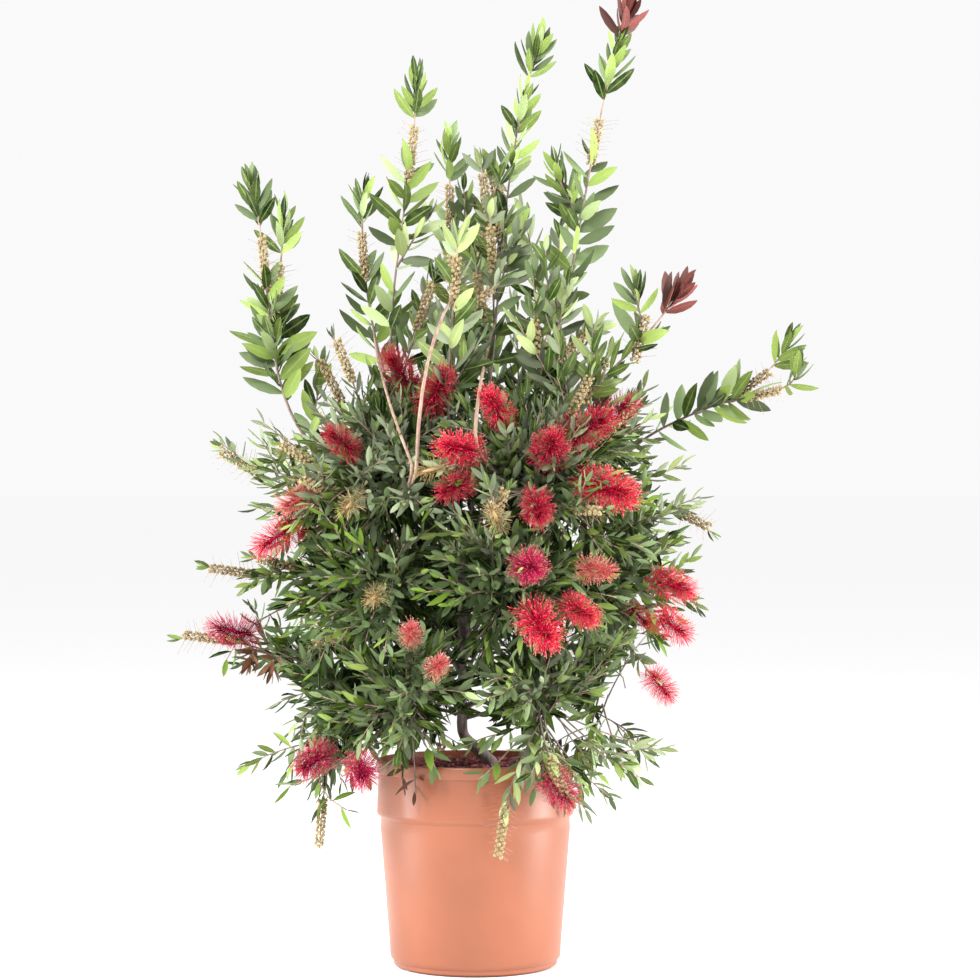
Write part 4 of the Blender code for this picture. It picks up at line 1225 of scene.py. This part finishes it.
class Plant:
    """All the paths and places of one plant, grown once."""

    def __init__(self, settings):
        self.settings = settings
        self.rng = np.random.default_rng(11)
        self.boughs = []
        self.ways = {}  # direction in which a bough arrives, by its target
        self.shoots = {}
        self.stems = []  # tall shoots and their side shoots
        self.twigs = []  # path and kind of wood
        self.leaves = {(group, tint): [] for group in LEAF_GROUPS for tint in LEAF_TINTS}
        self.blooms = {kind: [] for kind in BLOOM_KINDS}
        self.spikes = []
        self.hearts = []
        self.bare = []
        self.grow_boughs()
        self.grow_shoots()
        self.grow_sprays()
        self.grow_bare_stems()
        self.grow_blooms()
        self.grow_crown()
        self.grow_inside()
        self.wither()
        self.make_way()

    def random(self, low, high):
        return float(self.rng.uniform(low, high))

    def add_twig(self, controls, wood):
        path = bezier(controls, TWIG_POINTS)
        self.twigs.append((path, wood))
        return path

    def add_leaf(self, root, way, around, lean, size, group, tint):
        axis = (way * math.cos(lean) + around * math.sin(lean)).normalized()
        face = way * math.sin(lean) - around * math.cos(lean)
        twist = self.random(*LEAF_GROUPS[group][4])
        roll = Matrix.Rotation(twist * self.rng.choice((-1, 1)), 3, axis)
        place = frame_along(root, axis, roll @ face)
        place = place @ Matrix.Diagonal((size * self.random(*WIDTH_SCATTER), size, size, 1.0))
        shade = 0.0
        if SHADE_HEIGHTS[0] <= root.z <= SHADE_HEIGHTS[1]:
            depth = math.hypot(root.x, root.y) / crown_reach(min(root.z, TOP_REACH))
            shade = min(1.0, max(0.0, (SHADE_START - depth) / SHADE_DEPTH))
        # The tone is a leaf's share of its sunlit colour over its shaded one: painted light and shade, at
        # random and lower deeper in the crown.
        tone = self.random(0.0, 1.0) ** (1.0 + shade) * (1.0 - SHADE_STRENGTH * shade)
        self.leaves[group, tint].append((place, tone))

    def clothe(self, path, start, end, count, stand, tint):
        """Leaves in a golden-angle spiral along a stretch, measured down from the tip."""
        angles, sizes, group = STANDS[stand]
        turn = self.random(0.0, math.tau)
        for k in range(count):
            at = k + self.random(-SEAT_SCATTER, SEAT_SCATTER)
            share = min(1.0, max(0.0, at / max(1, count - 1)))
            root, way = down_path(path, between(start, end, share))
            lean = math.radians(between(*angles, share) + self.random(-LEAN_SCATTER, LEAN_SCATTER))
            around = Matrix.Rotation(turn + k * GOLDEN_TURN, 3, way) @ any_side(way)
            size = between(*sizes, share) * self.random(*SIZE_SCATTER)
            self.add_leaf(root, way, around, lean, size, group, tint)

    def add_spike(self, path, start, length, tone):
        centre, way = down_path(path, start + length / 2)
        stretch = length / self.settings.bloom.spike
        place = frame_along(centre, way, any_side(way))
        place = place @ Matrix.Rotation(self.random(0, math.tau), 4, "Z")
        self.spikes.append((place @ Matrix.Diagonal((SPIKE_WIDTH, SPIKE_WIDTH, stretch, 1.0)), tone))

    def dress(self, path, sections, tint):
        """The sections of a shoot or spray, each a spike of capsules or a stretch of leaves."""
        for kind, start, end, count in sections:
            if kind == "spike":
                self.add_spike(path, start, end - start, self.random(*SPIKE_TONES))
            else:
                end = min(end, path_length(path))
                self.clothe(path, start, end, count, kind, "bronze" if kind == "bronze" else tint)

    def nearest_heart(self, tip):
        return min(self.hearts, key=lambda heart: (heart - tip).length)

    def grow_boughs(self):
        """Boughs to the masses of the crown and to the shoots, the flattest from the lowest seat."""
        plans = []
        for count, first, reach, height, radius in RINGS:
            for k in range(count):
                heart = polar(first + 360.0 * k / count, reach, height)
                inward = (Vector((TRUNK_AXIS_X, 0.0, height - CORE_DROP * reach)) - heart).normalized()
                plans.append((heart + inward * (radius + STEM_LENGTH), heart))
        plans += [(Vector(shoot[1]), None) for shoot in SHOOTS]
        plans.sort(key=lambda plan: steepness(plan[0]))
        for rank, (target, heart) in enumerate(plans):
            seat = LOWEST_BOUGH + (HIGHEST_BOUGH - LOWEST_BOUGH) * rank / (len(plans) - 1)
            path = bough_path(seat, target)
            self.ways[tuple(target)] = (path[-1] - path[-2]).normalized()
            self.boughs.append(path)
            if heart:
                self.hearts.append(heart)
                self.add_twig([target, target.lerp(heart, 0.5), heart], "core")

    def grow_shoots(self):
        for name, foot, tip, lean, tint, sections, sides in SHOOTS:
            foot = Vector(foot)
            path = shoot_path(foot, self.ways[tuple(foot)], Vector(tip), lean)
            self.shoots[name] = path
            self.stems.append(path)
            self.dress(path, sections, tint)
            for share, end, side_sections in sides:
                side = side_path(path, share, Vector(end))
                self.stems.append(side)
                self.dress(side, side_sections, tint)

    def grow_sprays(self):
        """Sprays fork from the nearest stem a little below their tips."""
        nearest, furthest = SPRAY_RISES
        for number, tip in enumerate(UPPER_SPRAYS):
            tip = Vector(tip)
            lower = [spot for stem in self.stems for spot in stem if nearest < tip.z - spot.z < furthest]
            root = min(lower, key=lambda spot: math.hypot(spot.x - tip.x, spot.y - tip.y))
            rise = tip - root
            middle = root.lerp(tip, 0.5) + rise.cross(UP).cross(rise) * SPRAY_BOW
            path = self.add_twig([root, middle, tip], "spray")
            tint = "fresh" if self.random(0.0, 1.0) < FRESH_SPRAYS else "green"
            self.dress(path, SPRAY_LOADS["capsules" if number in CAPSULE_SPRAYS else "leaves"], tint)

    def grow_bare_stems(self):
        """Each joins its shoot at one end and the heart of a mass at the other."""
        for name, foot, bend, height in BARE_STEMS:
            head = min(self.shoots[name], key=lambda spot: abs(spot.z - height))
            self.bare += self.add_twig([foot, bend, head], "bare")
            behind = Vector(foot) + BARE_FOOT_STEP
            self.add_twig([self.nearest_heart(behind), behind, foot], "bare_foot")

    def spray_tint(self, tip):
        """Sprays are fresh at the top, the hem and the outside, and deep green inside: young growth in part,
        and painted light and shade in part.
        """
        light = LIGHT_AND_FRESH_LEAST + LIGHT_AND_FRESH_BY_HEIGHT * (abs(tip.z - LIGHT_AND_FRESH_MIDDLE) / LIGHT_AND_FRESH_HALF_HEIGHT)
        light += PAINTED_LIGHT_OUTWARDS * (math.hypot(tip.x, tip.y) / CROWN_RADIUS)
        light += self.random(-LIGHT_AND_FRESH_SCATTER, LIGHT_AND_FRESH_SCATTER)
        if tip.z > LIGHT_AND_FRESH_TOP:
            light += LIGHT_AND_FRESH_GAIN
        if light > FRESH_FROM:
            return "fresh"
        return "green" if light > GREEN_FROM else "deep"

    def in_daylight(self, spot, share=1.0):
        """Whether a spot lies in an opening of the lowest foliage, or well within it for a small share."""
        return any(
            ((spot.x - across) / wide) ** 2 + ((spot.z - up) / high) ** 2 < share
            for across, up, wide, high in DAYLIGHT
        )

    def grow_twig(self, tip, load, size=1.0, arrival=None, kind="bright"):
        """A twig from the nearest heart to a tip, with its load and its leaves."""
        aim = Vector(arrival).normalized() if arrival else Vector()
        heart = self.nearest_heart(tip - aim * AIM_BACK)
        reach = (tip - heart).length
        foot = heart + Vector([self.random(-FOOT_SCATTER, FOOT_SCATTER) for axis in range(3)])
        bow = TWIG_BOW if tip.z > LOW_TWIGS else self.random(*LOW_BOWS)
        middle = tip - aim * AIM_LENGTH * reach if arrival else foot.lerp(tip, 0.5) + UP * bow * reach
        path = self.add_twig([foot, middle, tip], "crown")
        way = (path[-1] - path[-2]).normalized()
        # Sprigs low on the crown take the dark deep tint: painted shade.
        tint = "deep" if load == "sprig" else self.spray_tint(tip)
        clear = 0.0
        if load == "bloom":
            place = frame_along(tip, way, any_side(way))
            self.blooms[kind].append((place @ Matrix.Scale(size, 4), self.random(0.0, 1.0)))
            clear = BRUSH_CLEAR * size
        elif load == "capsules":
            clear = self.settings.bloom.spike * self.random(*SPIKE_SHARES)
            self.add_spike(path, SPIKE_START, clear, self.random(0.0, 1.0))
            if way.z > HANGING:
                self.clothe(path, 0.0, SPIKE_START, 4, "twig_tip", tint)
        stretch = min(path_length(path) * LEAFY_SHARE, clear + LEAFY_LENGTHS[load])
        count = int((stretch - clear) / self.settings.leaf.spacing)
        self.clothe(path, clear, stretch, max(count, 0), "twig", tint)
        return path, tint

    def grow_side_twigs(self, path, tint, count, free=False):
        """Short leafy side twigs fork from a twig and reach on outwards."""
        for k in range(count):
            root, way = down_path(path, path_length(path) * self.random(*SIDE_SEATS))
            turn = Matrix.Rotation(self.random(0, math.tau), 3, way) @ any_side(way)
            reach = self.random(*SIDE_REACHES)
            along, aside, upward = SIDE_WAY
            out = (way * along + turn * aside + UP * upward).normalized()
            tip = root + out * reach
            low = tip.z < hem_height(math.atan2(tip.y, tip.x)) - SIDE_BELOW_HEM
            outside = math.hypot(tip.x, tip.y) > crown_reach(tip.z) * SIDE_OVERREACH
            if self.in_daylight(tip, OPENING_MIDDLE) or (not free and (low or outside)):
                continue
            side = self.add_twig([root, root + out * reach * 0.5 + UP * SIDE_BOW, tip], "side")
            leaves = int(reach / self.settings.leaf.spacing)
            self.clothe(side, 0.0, reach * LEAFY_SHARE, leaves, "side", tint)

    def grow_blooms(self):
        """The twigs that are placed one by one: blooms, spent blooms and the outer twigs."""
        for bearing, height, share, size, kind in BLOOMS:
            tip = polar(bearing, crown_reach(height) * share, height)
            self.grow_twig(tip, "bloom", size, kind=kind)
        for k in range(BACK_BLOOMS):
            height = between(BACK_BLOOM_LOWEST, BACK_BLOOM_HIGHEST, (k + 0.5) / BACK_BLOOMS)
            tip = polar(BACK_BEARING + BACK_SPAN * ((k * GOLDEN_SHARE) % 1.0), crown_reach(height), height)
            self.grow_twig(tip, "bloom", BACK_BLOOM_SIZE, kind=BACK_KINDS[k % len(BACK_KINDS)])
        for place, size in SPENT_BLOOMS:
            self.grow_twig(Vector(place), "bloom", size, kind="spent")
        for tip, arrival, load, sides in OUTER_TWIGS:
            if load in BLOOM_KINDS:
                path, tint = self.grow_twig(Vector(tip), "bloom", OUTER_BLOOM_SIZES[load], arrival, load)
            else:
                path, tint = self.grow_twig(Vector(tip), load, arrival=arrival)
            self.grow_side_twigs(path, "deep" if load == "magenta" else tint, sides, free=True)

    def grow_crown(self):
        """Leafy twigs at the golden angle on the crown's outline, thinner at the hem."""
        many = self.settings.leaf.twigs
        rise = CROWN_CENTRE + CROWN_HALF_HEIGHT - HEM_AT_SIDES
        for k in range(many):
            height = HEM_AT_SIDES + rise * (k + 0.5) / many
            bearing = k * GOLDEN_TURN
            reach = crown_reach(height) * self.random(*TWIG_DEPTHS)
            tip = polar(math.degrees(bearing), reach, height)
            above_hem = height - hem_height(bearing)
            thin = self.random(0.0, 1.0) > HEM_FULLNESS + above_hem / HEM_FADE
            halfway = self.nearest_heart(tip).lerp(tip, CROSSING_SHARE)
            below_hem = above_hem < self.random(*HEM_SLACK)
            if below_hem or thin or self.in_daylight(tip) or self.in_daylight(halfway, OPENING_CROSSING):
                continue
            path, tint = self.grow_twig(tip, "leaves")
            self.grow_side_twigs(path, tint, SIDE_TWIGS)

    def grow_inside(self):
        """Shaded twigs that close the crown from within."""
        many = self.settings.leaf.inner_twigs
        for k in range(many):
            height = INNER_LOWEST + INNER_RISE * (k + 0.5) / many
            tip = polar(math.degrees(k * GOLDEN_TURN), CROWN_RADIUS * self.random(*INNER_REACHES), height)
            if self.in_daylight(tip):
                continue
            heart = self.nearest_heart(tip)
            path = self.add_twig([heart, heart.lerp(tip, 0.5) + UP * INNER_BOW, tip], "inner")
            # Their leaves take the dark deep tint: painted shade inside the crown.
            self.clothe(path, 0.0, path_length(path), INNER_LEAVES, "inner", "deep")

    def wither(self):
        """Clusters of dead leaves that hang from twigs."""
        for place, count in WITHERED:
            tip = Vector(place)
            above = Vector((tip.x, tip.y, tip.z + WITHERED_DROP))
            path = self.add_twig([self.nearest_heart(tip), above, tip], "withered")
            self.clothe(path, 0.0, WITHERED_LENGTH, count, "withered", "withered")

    def make_way(self):
        """Leaves make way for the brushes, for the bare stems and for the openings."""
        middles, reaches = [], []
        for entries in self.blooms.values():
            for place, tone in entries:
                middle = place.translation
                out = Vector((middle.x, middle.y, BRUSH_RISE * (middle.z - CROWN_CENTRE))).normalized()
                middles += [middle + out * step for step in BRUSH_STEPS]
                reaches += [BRUSH_REACH * place.to_scale().x] * len(BRUSH_STEPS)
        for spot in self.bare:
            middles += [spot - BACKWARDS * step for step in STEM_STEPS]
            reaches += [STEM_REACH] * len(STEM_STEPS)
        middles = np.array([list(middle) for middle in middles])
        reaches = np.array(reaches)
        for key, entries in self.leaves.items():
            kept = []
            for place, tone in entries:
                centre = place @ Vector((0.0, 0.0, LEAF_MIDDLE))
                apart = np.sqrt(((middles - np.array(centre)) ** 2).sum(1))
                if (apart > reaches).all() and not self.in_daylight(centre, OPENING_CORE):
                    kept.append((place, tone))
            self.leaves[key] = kept


@functools.cache
def plant():
    return Plant(bpy.context.scene.bottlebrush)


# --------------------------------------------------------------------- operators


class BOTTLEBRUSH_OT_pot(Operator):
    """Spin the nursery pot from its profile and round its lip, step and foot"""

    bl_idname = "bottlebrush.pot"
    bl_label = "Nursery pot"

    def execute(self, context):
        settings = context.scene.bottlebrush.pot
        top, lip, wall = settings.height, settings.lip_radius, settings.wall
        profile = [(0.0, wall), (INNER_FLOOR, wall), INNER_SHOULDER]
        profile += [(lip - inset, height) for inset, height in INNER_STEP]
        profile += [(lip - inset, top - drop) for inset, drop in INNER_LIP + OUTER_LIP]
        profile += [(lip - inset, height) for inset, height in COLLAR]
        profile += POT_BODY
        piece = draw_outline("pot_shell", [(reach, 0.0, height) for reach, height in profile])
        spin_round(POT_SEGMENTS)
        bpy.ops.object.shade_smooth_by_angle(angle=math.radians(40))
        finish_piece(piece, terracotta_finish(settings), ["pot"])
        return {"FINISHED"}


class BOTTLEBRUSH_OT_mulch(Operator):
    """Heap the soil and strew it with bark chips"""

    bl_idname = "bottlebrush.mulch"
    bl_label = "Mulch"

    def execute(self, context):
        settings = context.scene.bottlebrush.pot
        draw = np.random.default_rng(5).uniform
        deselect()
        radius = settings.lip_radius - BED_INSET
        middle = (0, 0, SOIL_LEVEL - BED_DEPTH / 2)
        bpy.ops.mesh.primitive_cylinder_add(
            vertices=BED_SEGMENTS, radius=radius, depth=BED_DEPTH, location=middle, end_fill_type="NGON"
        )
        bed = bpy.context.object
        bed.name = "soil_bed"
        settle()
        pick(bed, "FACE", lambda face: face.normal.z > 0.9)
        for ring in range(BED_RINGS):
            bpy.ops.mesh.inset(thickness=radius / BED_RING_SHARE)
        bpy.ops.mesh.poke()
        leave_edit()
        for vert in bed.data.vertices:
            if vert.co.z > SOIL_LEVEL - 0.001:
                flat = math.hypot(vert.co.x, vert.co.y)
                vert.co.z += draw(-BED_LUMPS, BED_LUMPS) - BED_DISH * (flat / radius) ** 3
        bpy.ops.object.shade_smooth()
        # The soil bed is the chips' colour darkened: painted shade between the chips.
        finish_piece(bed, mulch_finish(settings, "damp_soil", 0.55), ["soil"])
        pattern = chip_pattern()
        copies = []
        for k in range(settings.chips):
            reach = (radius - CHIP_MARGIN) * math.sqrt((k + 0.5) / settings.chips)
            at = polar(math.degrees(k * GOLDEN_TURN), reach, SOIL_LEVEL + draw(*CHIP_HEIGHTS))
            if (at - Vector((TRUNK_FOOT_X, 0, at.z))).length < BARE_ROUND_TRUNK:
                continue
            tilt = Matrix.Rotation(draw(*TURNS), 4, "Z") @ Matrix.Rotation(draw(*CHIP_TILTS), 4, "X")
            place = Matrix.Translation(at) @ tilt @ Matrix.Scale(draw(*CHIP_SCALES), 4)
            copies.append((place, draw(0, 1)))
        chips = pattern.laid(copies).object("bark_chips", 30.0)
        finish_piece(chips, mulch_finish(settings, "bark_mulch", 1.0), ["soil"])
        return {"FINISHED"}


class BOTTLEBRUSH_OT_limbs(Operator):
    """Grow the trunk and boughs with rough bark"""

    bl_idname = "bottlebrush.limbs"
    bl_label = "Trunk and boughs"

    def execute(self, context):
        draw = np.random.default_rng(9).uniform
        trunk = trunk_path()
        relief = draw(-1, 1, (len(trunk), TRUNK_SIDES))
        relief = (relief + np.roll(relief, 1, 0) + np.roll(relief, -1, 0)) / TRUNK_SMOOTHING
        girth = np.array([trunk_radius(spot.z) for spot in trunk])[:, None]
        body = tubes([trunk], [girth * (1.0 + TRUNK_RELIEF * relief)], TRUNK_SIDES)
        boughs = plant().boughs
        taper = between(BOUGH_RADIUS, BOUGH_TIP_RADIUS, np.linspace(0, 1, BOUGH_POINTS))
        knots = draw(-1, 1, (len(boughs), BOUGH_POINTS, BOUGH_SIDES))
        arms = tubes(boughs, taper[None, :, None] * (1.0 + BOUGH_RELIEF * knots), BOUGH_SIDES)
        piece = Pattern.joined([body, arms]).object("bark_limbs", 80.0)
        finish_piece(piece, bark_finish(), LIMB_NODES)
        return {"FINISHED"}


class BOTTLEBRUSH_OT_twigs(Operator):
    """Grow the stems of the tall shoots and the fine twigs of the crown"""

    bl_idname = "bottlebrush.twigs"
    bl_label = "Twigs"

    def execute(self, context):
        grown = plant()
        skin = twig_finish()
        taper = np.linspace(SHOOT_RADIUS, SHOOT_TIP_RADIUS, SHOOT_POINTS)
        tall = tubes(grown.stems, np.tile(taper, (len(grown.stems), 1)), SHOOT_SIDES)
        wood = np.array([WOOD[kind] for path, kind in grown.twigs])
        radii = np.linspace(wood[:, 0], wood[:, 1], TWIG_POINTS, axis=1)
        fine = tubes([path for path, kind in grown.twigs], radii, TWIG_SIDES, wood[:, 2:])
        for name, pattern in (("shoot_stems", tall), ("crown_twigs", fine)):
            piece = pattern.object(name, 100.0)
            piece.data.attributes["along"].name = "age"
            finish_piece(piece, skin, LEAFY_NODES)
        return {"FINISHED"}


class BOTTLEBRUSH_OT_leaves(Operator):
    """Lay the leaves along the twigs, one piece for each group and tint"""

    bl_idname = "bottlebrush.leaves"
    bl_label = "Leaves"

    def execute(self, context):
        size = context.scene.bottlebrush.leaf
        patterns = {
            group: [
                blade_pattern(getattr(size, length), getattr(size, width), fold, curl, outline)
                for curl in LEAF_CURLS
            ]
            for group, (length, width, fold, outline, twist, slot) in LEAF_GROUPS.items()
        }
        finishes = {tint: leaf_finish(tint) for tint in LEAF_TINTS}
        for (group, tint), entries in plant().leaves.items():
            curled = len(LEAF_CURLS)
            shares = [(patterns[group][k], entries[k::curled]) for k in range(curled)]
            kinds = [pattern.laid(share) for pattern, share in shares if share]
            halves = [kinds] if len(entries) < MOST_LEAVES else [kinds[:2], kinds[2:]]
            for half, part in zip(halves if entries else [], ("", "_more")):
                piece = Pattern.joined(half).object(f"{group}_leaves_{tint}{part}", 70.0)
                finish_piece(piece, finishes[tint], LEAFY_NODES)
        return {"FINISHED"}


class BOTTLEBRUSH_OT_blooms(Operator):
    """Set the brushes of stamens on their twigs"""

    bl_idname = "bottlebrush.blooms"
    bl_label = "Blooms"

    def execute(self, context):
        size = context.scene.bottlebrush.bloom
        draw = np.random.default_rng(21).uniform
        for kind, (heart, thread, speck, count) in BLOOM_KINDS.items():
            threads = [thread_pattern(size.reach, STAMEN_RADIUS, d, STAMEN_TIP) for d in STAMEN_DROOPS]
            parts = []
            for number, pattern in enumerate(threads):
                copies = []
                for k in range(number, count, len(threads)):
                    share = k / (count - 1)
                    way = math.radians(FOOT_LEAN - LEAN_CHANGE * share**LEAN_POWER + draw(*STAMEN_LEANS))
                    out = Matrix.Rotation(k * GOLDEN_TURN + draw(*STAMEN_TURNS), 3, "Z")
                    axis = out @ Vector((math.sin(way), 0.0, math.cos(way)))
                    root = Vector((0.0, 0.0, (share - BRUSH_FOOT) * size.length))
                    place = frame_along(root + axis * BRUSH_SEAT, axis, out @ BACKWARDS)
                    long = draw(*STAMEN_SCALES) * (1.0 if k % 5 else SHORT_STAMEN)
                    if kind == "spent":
                        long *= draw(*SPENT_SCALES)
                    place = place @ Matrix.Rotation(draw(*TURNS), 4, "Z")
                    copies.append((place @ Matrix.Scale(long, 4), draw(0, 1)))
                parts.append(pattern.laid(copies))
            core = [(0, 0, -BRUSH_FOOT * size.length), (0, 0, 0), (0, 0, BRUSH_HEAD * size.length)]
            parts.append(tubes([core], [SPIKE_CORE], 6))
            brushes = Pattern.joined(parts).laid(plant().blooms[kind])
            piece = brushes.object(f"blooms_{kind}", 100.0)
            finish_piece(piece, bloom_finish(kind), LEAFY_NODES)
        return {"FINISHED"}


class BOTTLEBRUSH_OT_capsules(Operator):
    """Crowd the seed capsules and their dry bristles round the spikes"""

    bl_idname = "bottlebrush.capsules"
    bl_label = "Seed capsules"

    def execute(self, context):
        size = context.scene.bottlebrush.bloom
        draw = np.random.default_rng(33).uniform
        cup = cup_pattern(size.capsule)
        bristle = thread_pattern(size.bristle, BRISTLE_RADIUS, 0.1, 0.5)
        cups, bristles = [], []
        for k in range(CUPS_ON_SPIKE):
            height = (k / (CUPS_ON_SPIKE - 1) - 0.5) * size.spike
            out = Matrix.Rotation(k * GOLDEN_TURN, 3, "Z")
            axis = (out @ Vector((1.0, 0.0, CUP_RISE))).normalized()
            place = frame_along(axis * CUP_SEAT + UP * height, axis, out @ BACKWARDS)
            cups.append((place @ Matrix.Scale(draw(*CUP_SCALES), 4), draw(0, 1)))
            if k % 4:
                bristles.append((place @ Matrix.Scale(draw(*BRISTLE_SCALES), 4), 0.5))
        for name, pattern, copies, sharp, finish in (
            ("seed_capsules", cup, cups, 60.0, ("capsule_shell", SHELL_DRY, SHELL_RIPE)),
            ("dry_bristles", bristle, bristles, 100.0, ("bristle_straw", BRISTLE_DRY, BRISTLE_RIPE)),
        ):
            piece = pattern.laid(copies).laid(plant().spikes).object(name, sharp)
            finish_piece(piece, capsule_finish(*finish), LEAFY_NODES)
        return {"FINISHED"}


class BOTTLEBRUSH_OT_studio(Operator):
    """Lay the pale floor, hang the soft lights and place the camera"""

    bl_idname = "bottlebrush.studio"
    bl_label = "Studio"

    def execute(self, context):
        settings = context.scene.bottlebrush.studio
        deselect()
        bpy.ops.mesh.primitive_plane_add(size=FLOOR_SIZE, location=(0.0, 0.0, FLOOR_LEVEL))
        floor = bpy.context.object
        floor.name = "pale_floor"
        settle()
        pale = Finish("pale_floor", 0.9, Specular_IOR_Level=0.0)
        pale.colour(FLOOR_COLOUR)
        floor.data.materials.append(pale.material)
        world = bpy.data.worlds.new("white_surround")
        context.scene.world = world
        world.use_nodes = True
        sky = world.node_tree.nodes["Background"].inputs
        sky["Color"].default_value = (1.0, 1.0, 1.0, 1.0)
        sky["Strength"].default_value = settings.sky
        for name, setting, place, wide, high in LIGHTS:
            turn = (LIGHT_AIM - Vector(place)).to_track_quat("-Z", "Y").to_euler()
            bpy.ops.object.light_add(type="AREA", location=place, rotation=turn)
            bpy.context.object.name = name
            lamp = bpy.context.object.data
            lamp.shape = "RECTANGLE"
            lamp.size = wide
            lamp.size_y = high
            lamp.energy = getattr(settings, setting)
        place = (CAMERA_X, -settings.distance, CAMERA_HEIGHT)
        bpy.ops.object.camera_add(location=place, rotation=(math.pi / 2, 0, 0))
        camera = bpy.context.object
        camera.data.lens = LENS
        camera.data.sensor_width = SENSOR_WIDTH
        camera.data.clip_end = FARTHEST
        context.scene.camera = camera
        context.scene.view_settings.view_transform = "Standard"
        return {"FINISHED"}


class BOTTLEBRUSH_PT_sidebar(Panel):
    """Everything of the potted bottlebrush"""

    bl_idname = "BOTTLEBRUSH_PT_sidebar"
    bl_label = "Potted Bottlebrush"
    bl_space_type = "VIEW_3D"
    bl_region_type = "UI"
    bl_category = "Bottlebrush"

    def draw(self, context):
        settings = context.scene.bottlebrush
        for group in (settings.pot, settings.leaf, settings.bloom, settings.studio):
            box = self.layout.box()
            for name in group.bl_rna.properties.keys():
                if name not in ("rna_type", "name"):
                    box.prop(group, name)
        for step in STEPS:
            self.layout.operator(step.bl_idname)


STEPS = (
    BOTTLEBRUSH_OT_studio,
    BOTTLEBRUSH_OT_pot,
    BOTTLEBRUSH_OT_mulch,
    BOTTLEBRUSH_OT_limbs,
    BOTTLEBRUSH_OT_twigs,
    BOTTLEBRUSH_OT_leaves,
    BOTTLEBRUSH_OT_blooms,
    BOTTLEBRUSH_OT_capsules,
)
CLASSES = (
    PotSettings,
    LeafSettings,
    BloomSettings,
    StudioSettings,
    BottlebrushSettings,
    *STEPS,
    BOTTLEBRUSH_PT_sidebar,
)


def register():
    for each in CLASSES:
        bpy.utils.register_class(each)
    bpy.types.Scene.bottlebrush = PointerProperty(type=BottlebrushSettings)


def unregister():
    del bpy.types.Scene.bottlebrush
    for each in reversed(CLASSES):
        bpy.utils.unregister_class(each)


def main():
    register()
    bpy.ops.bottlebrush.studio()
    bpy.ops.bottlebrush.pot()
    bpy.ops.bottlebrush.mulch()
    bpy.ops.bottlebrush.limbs()
    bpy.ops.bottlebrush.twigs()
    bpy.ops.bottlebrush.leaves()
    bpy.ops.bottlebrush.blooms()
    bpy.ops.bottlebrush.capsules()


if __name__ == "__main__":
    main()
